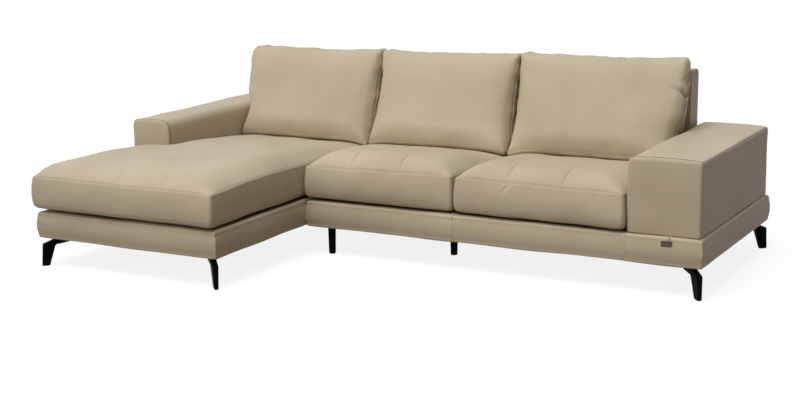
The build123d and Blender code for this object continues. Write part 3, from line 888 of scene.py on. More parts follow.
LEATHER = Leather()
THREAD = Thread()
CAST_METAL = Coating()
PLASTIC = Coating("black_plastic", "black_plastic", gloss=(0.5, 0.62))
GLIDE = Coating("glide_plastic", "glide_plastic", (0.05,) * 3, (0.03,) * 3, gloss=(0.5, 0.65))
STEEL = Coating(
    "zinc_steel",
    "steel",
    light=(0.50, 0.49, 0.46),
    dark=(0.40, 0.39, 0.37),
    gloss=(0.28, 0.42),
    metal=1.0,
    mirror=0.5,
)
TAG_METAL = Coating(
    "satin_tag_metal",
    "steel",
    light=(0.10, 0.078, 0.058),
    dark=(0.045, 0.035, 0.027),
    gloss=(0.40, 0.52),
    metal=0.6,
    mirror=0.25,
)
DECK_CLOTH = Cloth()
DUST_CLOTH = Cloth("dust_cloth", "dust_cloth", (0.020, 0.020, 0.021), (0.010, 0.010, 0.011), 900.0)
WEBBING = Cloth("elastic_webbing", "webbing", (0.050, 0.045, 0.040), (0.018, 0.016, 0.015), 2200.0)
TIMBER = Timber()


def place(piece: Piece, body: str, finish: Finish, *nodes: str) -> Piece:
    """Ties a finished piece to the frame.

    Args:
        piece: The piece.
        body: The CAD body that it moves with.
        finish: What it is made of; not used.
        nodes: The CAD nodes that it stands for.

    Returns:
        The same piece.
    """
    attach(piece, body)
    if nodes:
        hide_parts(*nodes)
    log.info("%s rides on %s: %d faces", piece.name, body, len(piece.data.polygons))
    return piece


def pad(made: Draft, node: str, fill: float, body: str = FRAME_BODY) -> None:
    """Makes a piece of leather that stands for a CAD node."""
    piece = place(made.piece(f"{node}_leather", LEATHER), body, LEATHER, node)


def lay_welts(name: str, lines: Sequence[Array], radius: float, shade: float) -> None:
    """Makes a piece of thin leather welts.

    Args:
        name: The piece's name.
        lines: The middle line of each welt.
        radius: Half a welt's thickness.
        shade: How much painted shade darkens them, from 0 to 1.
    """
    welts = join([tube(line, radius) for line in lines])
    # Painted shade over the whole of each welt.
    welts.crease[:] = shade
    place(welts.piece(name, LEATHER), FRAME_BODY, LEATHER)


def arm_notch(gap: float) -> tuple[float, float]:
    """Returns the corner that the left arm cuts out of what lies round it, at a gap from it."""
    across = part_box("left_arm_cover")[1].x + gap
    return across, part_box("left_arm_front_panel")[0].y - gap


@dataclass(frozen=True)
class Seam:
    """How wide a seam's groove is, how deep it is drawn in and how much painted shade darkens it.
    """

    width: float
    depth: float
    # The painted shade along the seam, from 0 to 1.
    shade: float


@dataclass(frozen=True)
class Waves:
    """Loose waves in the hide: their usual length, their height and their reach from a seam."""

    length: float
    height: float
    reach: float = FAR


# Cushions


@dataclass
class SeatCushion:
    """A boxed seat cushion: full crowned top, sewn channels, stitched upper edge and soft foot.

    Attributes:
        node: The CAD node that it stands for.
        stations: Distance from the front, rise of the top seam and crown above it.
        channels: Distance of each channel from the right side, and its strength.
        deep: Distance from the front and depth of a full channel there.
        notch: The corner round which an arm cuts the cushion away, if any.
        wrinkles: Strength of the folds on the left of the front.
        tilt: How much higher the upper seam is at the right end of the front than at the left.
        left_brow: Width of the crown's fall to the left side, at the front and at the notch.
        left_fullness: Fullness of the crown's fall to the left side.
        left_puff: How far the left side swells out of its CAD box.
        right_fall: Width and fullness of the crown's fall to the right side.
        right_drop: How far the edge is rounded down along the right side.
        lap: How far from the rear the back cushion presses on the top.
        lean: How far its front leans back at the upper seam.
        side_lean: The share of that lean that its sides have.
        sag: How far its lower edge hangs over the band.
    """

    node: str
    stations: Sequence[Triple]
    channels: Sequence[tuple[float, float]]
    deep: Sequence[tuple[float, float]]
    notch: tuple[float, float] | None = None
    wrinkles: float = 0.3
    tilt: float = 0.0
    left_brow: tuple[float, float] = (0.165, 0.165)
    left_fullness: float = 2.4
    left_puff: float = 0.0
    right_fall: tuple[float, float] = (0.165, 2.4)
    right_drop: float = 0.0
    seed: int = 1
    seam_height: float = 0.1417
    front_corner: float = 0.015
    rear_corner: float = 0.020
    foot_height: float = 0.018
    foot_spread: float = 0.020
    rim: float = 0.0042
    bulge: float = 0.005
    lean: float = 0.011
    side_lean: float = 0.6
    belt: float = 0.35
    sag: float = 0.0005
    brow: float = 0.150
    fullness: float = 5.4
    bow: float = 0.006
    lower_seam: float = 0.017
    lap: float = 0.300
    swell: float = 0.006
    fine_step: float = 0.022
    plain_step: float = 0.021
    slack: float = 0.012
    freedom: Triple = (0.3, 0.7, 1.0)
    fill: float = 0.85
    upper: Seam = Seam(0.0020, 0.0009, 0.38)
    lower: Seam = Seam(0.0022, 0.0010, 0.16)
    upright: Seam = Seam(0.0025, 0.0008, 0.22)
    channel: Seam = Seam(0.0028, 0.0016, 0.42)
    gathers: Waves = Waves(0.040, 0.0010, 0.020)
    looseness: Waves = Waves(0.26, 0.0020)
    swell_reach: float = 0.2
    swell_turn: float = 2.2
    notch_reach: float = 0.5
    hang_reach: float = 0.03
    left_run: float = 0.7
    tilt_reach: float = 0.45
    drop_reach: tuple[float, float] = (0.1, 0.12)
    dent: tuple[float, float] = (0.040, 0.009)
    full_channel: float = 0.008
    folds: Waves = Waves(0.0062, 0.0034, 0.04)
    fold_slant: float = 0.75
    fold_place: tuple[float, float] = (0.215, 0.055)
    fold_start: float = 0.015
    row_end: float = 0.012
    lap_fade: float = 0.08
    held_height: float = 0.05

    def __post_init__(self) -> None:
        """Takes the cushion's place from its CAD node."""
        self.low, self.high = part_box(self.node)
        self.body = f"{self.node}_body"
        self.top = self.low.z + self.seam_height
        self.cut = self.notch or (-FAR, FAR)

    def draft(self, step: float, fine: bool) -> Draft:
        """Shapes the cushion, without its sewing.

        Args:
            step: The grid's pitch.
            fine: Whether lines crowd together at the seams and edges.

        Returns:
            The shaped cushion.
        """
        low, high = self.low, self.high
        across = [high.x - d for d, _ in self.channels]
        ends_x, ends_y, ends_z = [low.x, high.x], [low.y, high.y], [low.z, self.top]
        if self.notch:
            ends_x.append(self.notch[0])
            ends_y.append(self.notch[1])
        if fine:
            xs = graded(low.x, high.x, step, ends_x + across)
            ys = graded(low.y, high.y, step, ends_y)
            zs = graded(low.z, self.top, step * 0.8, [*ends_z, low.z + self.lower_seam])
        else:
            xs, ys, zs = (self.plain_lines(ends, step) for ends in (ends_x, ends_y, ends_z))
        rest, quads = prism(xs, ys, zs, self.notch)
        made = Draft(rest.copy(), quads, rest, np.zeros(len(rest)))
        self.shape(made)
        return made

    @staticmethod
    def plain_lines(stops: Sequence[float], step: float) -> Array:
        """Lays even lines between stops.

        Args:
            stops: Places that each get a line.
            step: The usual pitch.

        Returns:
            The lines' places, rising.
        """
        ends = sorted(stops)
        runs = []
        for a, b in zip(ends, ends[1:]):
            runs.append(np.linspace(a, b, max(2, round((b - a) / step) + 1)))
        return np.unique(np.round(np.concatenate(runs), 6))

    def to_notch(self, x: Array, y: Array) -> Array:
        """Returns the distances to the notch, which are long where there is none."""
        return np.hypot(np.maximum(x - self.cut[0], 0), np.maximum(self.cut[1] - y, 0))

    def to_rim(self, x: Array, y: Array) -> Array:
        """Returns the distances to the cushion's outline, seen from above."""
        sides = [x - self.low.x, self.high.x - x, y - self.low.y, self.high.y - y]
        return np.min([*sides, self.to_notch(x, y)], axis=0)

    def shape(self, made: Draft) -> None:
        """Rounds the block's edges, crowns its top and lays its channels.

        Args:
            made: The plain block.
        """
        low, high = self.low, self.high
        x, y, z = made.rest.T
        up = z - low.z
        share = up / self.seam_height
        drawn = quarter(up, self.foot_height, self.foot_spread)
        drawn += quarter(self.seam_height - up, self.rim, self.rim)
        drawn += self.bulge * unit(1 - share / self.belt) ** 2
        leaning = self.lean * unit((share - self.belt) / (1 - self.belt)) ** 2
        drawn_x, drawn_y = drawn + self.side_lean * leaning, drawn + leaning
        corners = [
            Corner(high.x, low.y, 1, -1, self.front_corner),
            Corner(low.x, low.y, -1, -1, self.front_corner),
            Corner(high.x, high.y, 1, 1, self.rear_corner),
        ]
        if self.notch:
            corners.append(Corner(low.x, self.notch[1], -1, 1, self.rear_corner))
            corners.append(Corner(self.notch[0], high.y, -1, 1, self.rear_corner))
        else:
            corners.append(Corner(low.x, high.y, -1, 1, self.rear_corner))
        flat = draw_outline(made.rest, (low, high), self.notch, drawn_x, drawn_y)
        round_corners(flat, corners, drawn_x, drawn_y)
        across = (x - low.x) / (high.x - low.x)
        ahead = unit(1 - (y - low.y) / self.swell_reach) ** 2
        fullest_above_middle = np.sin(unit(share) * self.swell_turn)
        flat[:, 1] -= self.bow * (1 - (2 * across - 1) ** 2) * ahead * fullest_above_middle
        ahead_of_notch = unit((high.y - y) / self.notch_reach)
        leftmost = unit(1 - (x - low.x) / self.swell_reach) ** 2
        flat[:, 0] -= self.left_puff * leftmost * ahead_of_notch * fullest_above_middle
        made.points[:, :2] = flat
        hang = unit(1 - self.to_rim(x, y) / self.hang_reach) * unit(1 - share)
        hang = np.where(self.to_notch(x, y) > self.hang_reach, hang**2, 0)
        made.points[:, 2] = z + self.rise(x, y) * share - self.sag * hang

    def crowned(self, x: Array, y: Array) -> Array:
        """Crowns the top, without its channels.

        Args:
            x: Places across.
            y: Places from front to rear.

        Returns:
            How far the top stands above the seam's level.
        """
        back = y - self.low.y
        places, seams, crowns = zip(*self.stations)
        full = shoulder(back, self.brow, self.fullness)
        full = full * shoulder(self.high.x - x, *self.right_fall)
        full = full * shoulder(self.to_notch(x, y), self.brow, self.fullness)
        width = np.interp(back, (0, self.left_run), self.left_brow)
        full = full * shoulder((x - self.low.x) / width, 1.0, self.left_fullness)
        across = (x - self.low.x) / (self.high.x - self.low.x)
        lean = self.tilt * (across - 0.5) * unit(1 - back / self.tilt_reach)
        near_right = unit(1 - (self.high.x - x) / self.drop_reach[0]) ** 2
        drop = self.right_drop * near_right * unit(back / self.drop_reach[1])
        return curve(places, seams, back) + curve(places, crowns, back) * full + lean - drop

    def height_at(self, x: Array, y: Array) -> Array:
        """Returns the top's height at each place, which a back cushion lies on."""
        inside = np.clip(x, max(self.low.x, self.cut[0]) + 0.002, self.high.x - 0.002)
        return self.top + self.crowned(inside, np.minimum(y, self.high.y))

    def rise(self, x: Array, y: Array) -> Array:
        """Lays the channels in the crowned top.

        Args:
            x: Places across.
            y: Places from front to rear.

        Returns:
            How far the top stands above the seam's level.
        """
        top = self.crowned(x, y)
        depth = curve(*zip(*self.deep), y - self.low.y)
        for distance, strength in self.channels:
            away = np.abs(x - (self.high.x - distance))
            wide = np.exp(-((away / self.dent[0]) ** 1.4))
            top = top - strength * depth * (wide + bell(away, self.dent[1])) / 2
        return top

    def sew(self, made: Draft) -> None:
        """Draws in the seams, with the folds that gather along them, and paints shade along the
        seams and channels.

        Args:
            made: The shaped cushion.
        """
        x, y, z = made.rest.T
        top, foot = z > self.top - TOUCH, z < self.low.z + TOUCH
        side = ~top & ~foot
        from_edge = np.where(top, self.to_rim(x, y), self.top - z)
        from_edge[foot] = FAR
        seam = bell(from_edge, self.upper.width)
        round_way = np.stack([x + y, np.zeros(len(x))], axis=1)
        gather = ripples(round_way, self.gathers.length, self.seed)
        gather *= np.exp(-from_edge / self.gathers.reach) * (from_edge > TOUCH)
        loose = ripples(made.rest, self.looseness.length, self.seed + 1)
        lower = bell(z - self.low.z - self.lower_seam, self.lower.width) * side
        corner = np.zeros(len(x))
        for edge_x in (self.low.x, self.high.x):
            around = np.abs(x - edge_x) + np.abs(y - self.low.y)
            corner = np.maximum(corner, bell(around, self.upright.width) * side)
        push = self.gathers.height * gather + self.looseness.height * loose * ~foot
        push += self.front_folds(x, y, z) * side
        # Each seam is drawn in and gets painted shade along its line.
        for kind, line in ((self.upper, seam), (self.lower, lower), (self.upright, corner)):
            push -= kind.depth * line
            made.shade(kind.shade * line)
        made.push(push)
        depth = curve(*zip(*self.deep), y - self.low.y)
        for distance, strength in self.channels:
            away = np.abs(x - (self.high.x - distance))
            line = bell(away, self.channel.width) * unit(depth / self.full_channel)
            line = line * strength * top
            # Each channel is drawn in and gets painted shade along its line.
            made.push(-self.channel.depth * line)
            made.shade(self.channel.shade * line)

    def front_folds(self, x: Array, y: Array, z: Array) -> Array:
        """Slanting folds under the upper seam on the left of the front.

        Args:
            x: Places across.
            y: Places from front to rear.
            z: Heights.

        Returns:
            How far each point is pushed out.
        """
        along = x - self.low.x
        down = self.top - z
        middle, width = self.fold_place
        fold = np.sin((along + self.fold_slant * down) / self.folds.length)
        fold = fold * bell(along - middle, width) * (y < self.low.y + TOUCH)
        fade = unit(down / self.fold_start) * np.exp(-down / self.folds.reach)
        return self.folds.height * self.wrinkles * fold * fade

    def seam_rows(self, made: Draft) -> list[tuple[Array, Array]]:
        """Finds the stitch rows beside the upper seam.

        Args:
            made: The sewn cushion.

        Returns:
            Each row's points and normals.
        """
        x, y, z = made.rest.T
        normals = made.normals()
        inset = LADDER[2]
        rows = []
        for line, level, along in ((y, self.low.y + inset, x), (x, self.high.x - inset, y)):
            ids = np.where((np.abs(line - level) < TOUCH) & (z > self.top - TOUCH))[0]
            ids = ids[np.argsort(along[ids])]
            ends = along[ids]
            ids = ids[(ends > ends[0] + self.row_end) & (ends < ends[-1] - self.row_end)]
            rows.append((made.points[ids], normals[ids]))
        return rows

    def build(self) -> None:
        """Makes the cushion and its stitching."""
        made = self.draft(self.fine_step, True)
        plain = self.draft(self.plain_step, False)
        up = plain.rest[:, 2] - self.low.z
        lap = unit((plain.rest[:, 1] - self.high.y + self.lap) / self.lap_fade)
        held = np.maximum(unit(1 - up / self.held_height), lap)
        moved = inflate(plain, held, self.slack)
        carry_over(plain, moved, made, self.swell, self.freedom)
        self.sew(made)
        pad(made, self.node, self.fill, self.body)
        rows = join([stitches(path, facing) for path, facing in self.seam_rows(made)])
        place(rows.piece(f"{self.node}_stitching", THREAD), self.body, THREAD)


@dataclass
class BackCushion:
    """A plump back cushion with a gathered seam round its sides and top.

    Attributes:
        node: The CAD node that it stands for.
        seat: The seat cushion that it stands on.
        lift: How much higher than the CAD solid its crest is at its left and at its right.
        spread: How far its left and its right side swell out above the arms.
        fold: Strength of the deep fold in its upper right corner.
    """

    node: str
    seat: SeatCushion
    lift: tuple[float, float] = (0.0, 0.0)
    spread: tuple[float, float] = (0.0, 0.0)
    fold: float = 0.0
    seed: int = 20
    foot_depth: float = 0.272
    crest_depth: float = 0.104
    belly: float = 0.040
    left_round: float = 0.028
    right_round: float = 0.032
    rear_side_round: float = 0.028
    foot_tightness: float = 0.35
    crest_tightness: float = 0.45
    lower_round: float = 0.044
    crest_round: float = 0.024
    foot_share: float = 0.09
    edge_share: float = 0.24
    crest_share: float = 0.34
    rear_share: float = 0.46
    draw: float = 0.006
    ear: float = 0.006
    seam_share: float = 0.75
    crest_seam: float = 0.34
    rest: float = 0.002
    swell: float = 0.008
    fine_step: float = 0.009
    plain_step: float = 0.019
    slack: float = 0.02
    freedom: Triple = (0.2, 1.0, 0.6)
    fill: float = 0.75
    bead: tuple[float, float] = (0.0030, 0.0022)
    beside: Seam = Seam(0.0042, 0.0026, 0.45)
    tight: Waves = Waves(0.030, 0.0011, 0.018)
    wide: Waves = Waves(0.070, 0.0026, 0.05)
    looseness: Waves = Waves(0.24, 0.0026)
    corner_rays: float = 0.0022
    beside_place: float = 0.0075
    side_reach: float = 0.05
    fold_start: float = 0.645
    fold_slope: float = 0.62
    fold_height: float = 0.0075
    fold_shade: float = 0.55
    pleats: Waves = Waves(0.0050, 0.0030, 0.030)

    def __post_init__(self) -> None:
        """Takes the cushion's place from its CAD node."""
        self.low, self.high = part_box(self.node)
        self.body = f"{self.node}_body"
        self.height = self.high.z - self.low.z
        self.width = self.high.x - self.low.x

    def draft(self, step: float, fine: bool) -> Draft:
        """Shapes the cushion, without its sewing.

        Args:
            step: The grid's pitch.
            fine: Whether lines crowd together at the seam.

        Returns:
            The shaped cushion.
        """
        depth = (self.foot_depth + self.crest_depth) / 2
        xs = np.linspace(self.low.x, self.high.x, round(self.width / step) + 1)
        heights = np.linspace(0, self.height, round(self.height / step) + 1)
        depths = np.linspace(0, 1, round(depth / step) + 1)
        if fine:
            xs = graded(self.low.x, self.high.x, step * 1.4, [self.low.x, self.high.x])
            marks = [self.crest_seam * depth, self.seam_share * depth]
            depths = graded(0, depth, step * 1.4, marks) / depth
        rest, quads = prism(xs, heights, depths)
        made = Draft(rest.copy(), quads, rest, np.zeros(len(rest)))
        self.shape(made)
        return made

    def shape(self, made: Draft) -> None:
        """Rounds the block into a wedge that is full below and thin at its crest.

        Args:
            made: The plain block.
        """
        x, up, out = self.rounded(made.rest)
        share = unit(up / self.height)
        from_middle = np.abs(2 * (x - self.low.x) / self.width - 1)
        bow = curve((0, 0.12, 0.35, 0.55, 0.8, 1), (0.1, 0.85, 1.05, 1.0, 0.72, 0.3), share)
        depth = self.foot_depth + (self.crest_depth - self.foot_depth) * share
        depth = depth + self.belly * bow * (1 - from_middle**2.4)
        y = self.high.y - out * depth
        foot = self.seat.height_at(x, y) + self.rest
        crest = self.high.z + np.interp(x, (self.low.x, self.high.x), self.lift)
        z = foot + (crest - foot) * share
        right = x > (self.low.x + self.high.x) / 2
        swell = curve((0, 0.34, 0.48, 0.8, 0.93, 1), (0, 0, 0.75, 1, 0.8, 0.35), share)
        swell = swell * np.where(right, *self.spread[::-1]) * unit((out - 0.1) / 0.6)
        drawn = self.draw * np.sin(math.pi * share) ** 0.8 - swell
        x = x - np.where(right, 1, -1) * drawn * from_middle**3
        corner = unit((from_middle - 0.80) / 0.20) * unit((share - 0.7) / 0.3)
        corner = corner**2
        hollow = unit(share - 0.8) / 0.2 * (1 - from_middle**2)
        made.points = np.stack([x, y, z + self.ear * (corner - 0.4 * hollow)], axis=1)

    def rounded(self, rest: Array) -> tuple[Array, Array, Array]:
        """Rounds the block's edges.

        Args:
            rest: Points of the plain block.

        Returns:
            Their places across, up and, as a share, out.
        """
        share = rest[:, 1] / self.height
        full = curve((0, 0.2, 0.8, 1), (self.foot_tightness, 1, 1, self.crest_tightness), share)
        crest = ease(unit((share - 0.80) / 0.20))
        front = curve((0, 0.2, 1), (self.foot_share, self.edge_share, self.edge_share), share)
        front = front + (self.crest_share - self.edge_share) * crest
        even = np.ones(len(rest))
        ahead = rest[:, 2] > self.seam_share
        left = np.where(ahead, self.left_round * full, self.rear_side_round)
        right = np.where(ahead, self.right_round * full, self.rear_side_round)
        low = np.stack([left, self.lower_round * even, self.rear_share * even], axis=1)
        high = np.stack([right, self.crest_round * even, front], axis=1)
        start = np.array([self.low.x, 0, 0])
        end = np.array([self.high.x, self.height, 1])
        inner = np.clip(rest, start + low, end - high)
        gap = rest - inner
        radius = np.where(gap < 0, low, high)
        part = gap / radius
        length = np.linalg.norm(part, axis=1)
        scale = np.abs(part).max(axis=1) / np.maximum(length, TINY)
        placed = inner + radius * part * scale[:, None]
        return placed[:, 0], placed[:, 1], placed[:, 2]

    def sew(self, made: Draft) -> None:
        """Draws in the seam, with its gathers, folds and drawn corners, and paints shade in the
        grooves beside it.

        Args:
            made: The shaped cushion.
        """
        x, up, out = made.rest.T
        share = up / self.height
        depth = self.foot_depth + (self.crest_depth - self.foot_depth) * share
        to_side = np.minimum(x - self.low.x, self.high.x - x)
        to_crest = self.height - up
        rim = np.minimum(to_side, to_crest)
        turn = ease(unit((share - 0.82) / 0.18))
        ring = self.seam_share + (self.crest_seam - self.seam_share) * turn
        from_seam = np.abs(out - ring) * depth + np.maximum(rim, 0)
        on_foot = up < TOUCH
        seam = bell(from_seam, self.bead[0]) * ~on_foot
        beside = bell(from_seam - self.beside_place, self.beside.width) * ~on_foot
        on_side = unit(1 - to_side / self.side_reach)
        way = np.where(to_side < to_crest, up, x)[:, None] * np.array([[1.0, 0.0]])
        tight = ripples(way, self.tight.length, self.seed) * np.exp(-from_seam / self.tight.reach)
        wide = ripples(way, self.wide.length, self.seed + 1) * np.exp(-from_seam / self.wide.reach)
        wide *= 0.4 + 0.6 * on_side
        loose = ripples(made.rest * [1, 1, 0.1], self.looseness.length, self.seed + 2)
        pull = np.exp(-np.hypot(to_side, up) / self.side_reach)
        rays = np.sin(8 * np.arctan2(up + 0.02, to_side + 0.02)) * pull
        push = self.bead[1] * seam - self.beside.depth * beside
        push += (0.0004 + self.tight.height * on_side) * tight + self.wide.height * wide
        push += self.looseness.height * loose + self.corner_rays * rays
        push[out < TOUCH] *= 0.2
        push[on_foot] = 0
        made.push(push)
        # Painted shade in the grooves beside the seam bead.
        made.shade(self.beside.shade * beside)
        if self.fold:
            self.lay_fold(made)

    def lay_fold(self, made: Draft) -> None:
        """Lays the deep fold that runs in from the right side, with painted shade in it, and the
        pleats above it.

        Args:
            made: The sewn cushion.
        """
        x, up, out = made.rest.T
        share = up / self.height
        depth = self.foot_depth + (self.crest_depth - self.foot_depth) * share
        inward = (self.high.x - x) + (out - self.seam_share) * depth
        off = up - self.fold_start * self.height - self.fold_slope * inward
        ahead = out > self.seam_share
        reach = unit(inward / 0.012) * unit((0.092 - inward) / 0.045) * ahead
        lap = bell(off - 0.020, 0.018) - 1.5 * bell(off, 0.0085) + 0.7 * bell(off + 0.026, 0.020)
        made.push(self.fold_height * self.fold * lap * reach)
        # Painted shade along the bottom of the fold.
        made.shade(self.fold_shade * self.fold * bell(off, 0.0055) * reach)
        near = np.exp(-inward / self.pleats.reach) * unit(inward / 0.006) * ahead
        tall = bell(share - 0.83, 0.10)
        pleat = np.sin((up + 0.7 * inward) / self.pleats.length)
        made.push(self.pleats.height * self.fold * pleat * near * tall)

    def build(self) -> None:
        """Makes the cushion."""
        made = self.draft(self.fine_step, True)
        plain = self.draft(self.plain_step, False)
        held = np.where((plain.rest[:, 1:] < TOUCH).any(axis=1), 1.0, 0.0)
        moved = inflate(plain, held, self.slack)
        carry_over(plain, moved, made, self.swell, self.freedom)
        self.sew(made)
        pad(made, self.node, self.fill, self.body)


# Frame upholstery


@dataclass
class BaseBand:
    """A padded leather strip round one side of a base, rolled over its top edge.

    Attributes:
        node: The CAD node that it stands for.
        side: Which side of its base it covers.
        mitres: Whether its start and its end are cut at a corner.
        roll: How far in its top edge starts to turn down.
    """

    node: str
    side: Side
    mitres: tuple[bool, bool] = (True, True)
    roll: float = 0.030
    seed: int = 40
    pad: float = 0.014
    top_pad: float = 0.006
    lap: float = 0.050
    under: float = 0.020
    bulge: float = 0.003
    drop: float = 0.013
    heel: float = 0.007
    puff: float = 0.0025
    lining: float = 0.0015
    seam: Seam = Seam(0.0040, 0.0014, 0.3)
    seam_line: float = 0.0018
    butt_share: float = 0.15
    puckers: Waves = Waves(0.05, 0.0009, 0.03)
    looseness: Waves = Waves(0.33, 0.0013)
    step: float = 0.03
    fill: float = 0.9

    def section(self) -> tuple[Array, Array]:
        """Draws the strip's section.

        Returns:
            Its outer and inner lines, as distance in and height, foot to top.
        """
        low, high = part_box(self.node)
        z0, z1 = low.z, high.z
        turn = np.linspace(0, math.pi / 2, 9)
        falling, rising = 1 - np.sin(turn), 1 - np.cos(turn)
        heel = np.stack([self.bulge + self.heel * falling, z0 + self.heel * rising], axis=1)
        rise = np.linspace(z0 + self.heel, z1 - self.drop, 18)[1:-1]
        share = (rise - rise[0]) / (rise[-1] - rise[0])
        out = (self.bulge + self.puff) * (1 - (2 * share - 1) ** 2)
        face = np.stack([self.bulge - out, rise], axis=1)
        roll = np.stack([self.bulge + self.roll * rising, z1 - self.drop * falling], axis=1)
        outer = np.concatenate([[[self.under, z0]], heel, face, roll, [[self.lap, z1]]])
        stops = ([self.under, z0 + self.lining], [self.pad, z0 + self.lining])
        inner_top = z1 - self.top_pad - 0.0012
        corners = [*stops, [self.pad, inner_top], [self.lap, inner_top]]
        lengths = [0, 0.006, 0.12, 0.16]
        run = np.linspace(0, lengths[-1], len(outer))
        inner = np.stack([np.interp(run, lengths, line) for line in zip(*corners)], axis=1)
        return outer, inner

    def build(self) -> None:
        """Makes the strip."""
        low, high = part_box(self.node)
        ahead = np.array([*self.side.value, 0.0])
        inward = np.cross([0, 0, 1], ahead)
        start = {
            Side.FRONT: (low.x, low.y, 0),
            Side.RIGHT: (high.x, low.y, 0),
            Side.REAR: (high.x, high.y, 0),
            Side.LEFT: (low.x, high.y, 0),
        }[self.side]
        length = (high.x - low.x) if ahead[0] else (high.y - low.y)
        stations = graded(0, length, self.step, [0, length])
        outer, inner = self.section()
        loop = np.concatenate([outer, inner[::-1]])
        begins = loop[:, 0] if self.mitres[0] else np.zeros(len(loop))
        ends = length - loop[:, 0] if self.mitres[1] else np.full(len(loop), length)
        points, rest = [], []
        for station in stations:
            along = begins + (ends - begins) * station / length
            points.append(np.array(start) + along[:, None] * ahead + loop[:, :1] * inward)
            points[-1][:, 2] = loop[:, 1]
            rest.append(np.stack([np.full(len(loop), station), loop[:, 0], loop[:, 1]], axis=1))
        around = len(loop)
        quads = []
        for i in range(len(stations) - 1):
            for k in range(around):
                n = (k + 1) % around
                here, there = i * around, (i + 1) * around
                quads.append([there + k, there + n, here + n, here + k])
        skin = np.concatenate(points)
        made = Draft(skin, np.array(quads), np.concatenate(rest), np.zeros(len(skin)))
        self.sew(made, length, len(outer))
        made = join([made, *self.caps(made, around, len(outer))])
        pad(made, self.node, self.fill)

    @staticmethod
    def caps(made: Draft, around: int, outer: int) -> list[Draft]:
        """Closes the strip with two ends, which share no points with its sides.

        Args:
            made: The strip without ends.
            around: How many points go round it.
            outer: How many of them are on its outer line.

        Returns:
            The two ends.
        """
        ring = np.array([[k, k + 1, around - 2 - k, around - 1 - k] for k in range(outer - 1)])
        ends = []
        for ids, quads in ((slice(0, around), ring), (slice(-around, None), ring[:, ::-1])):
            ends.append(Draft(made.points[ids], quads, made.rest[ids], made.crease[ids]))
        return ends

    def sew(self, made: Draft, length: float, outer: int) -> None:
        """Draws the strip in at the upright seams of its ends, with small puckers beside them, and
        paints shade along the seams.

        Args:
            made: The strip without ends.
            length: Its length.
            outer: How many points are on its outer line.
        """
        along = made.rest[:, 0]
        around = len(made.rest) // len(np.unique(along))
        shown = np.arange(len(along)) % around < outer
        to_start, to_stop = along, length - along
        to_end = np.minimum(to_start, to_stop)
        firmness = (1.0 if mitred else self.butt_share for mitred in self.mitres)
        firm = np.where(to_start < to_stop, *firmness)
        pucker = ripples(made.rest[:, 1:] * [1, 1.6], self.puckers.length, self.seed)
        pucker *= np.exp(-to_end / self.puckers.reach) * (to_end > TOUCH)
        slow = ripples(made.rest, self.looseness.length, self.seed + 1)
        push = self.puckers.height * pucker + self.looseness.height * slow
        push -= self.seam.depth * bell(to_end, self.seam.width) * firm
        made.push(push * shown)
        # Painted shade along the upright seams.
        made.shade(self.seam.shade * bell(to_end, self.seam_line) * shown * firm)


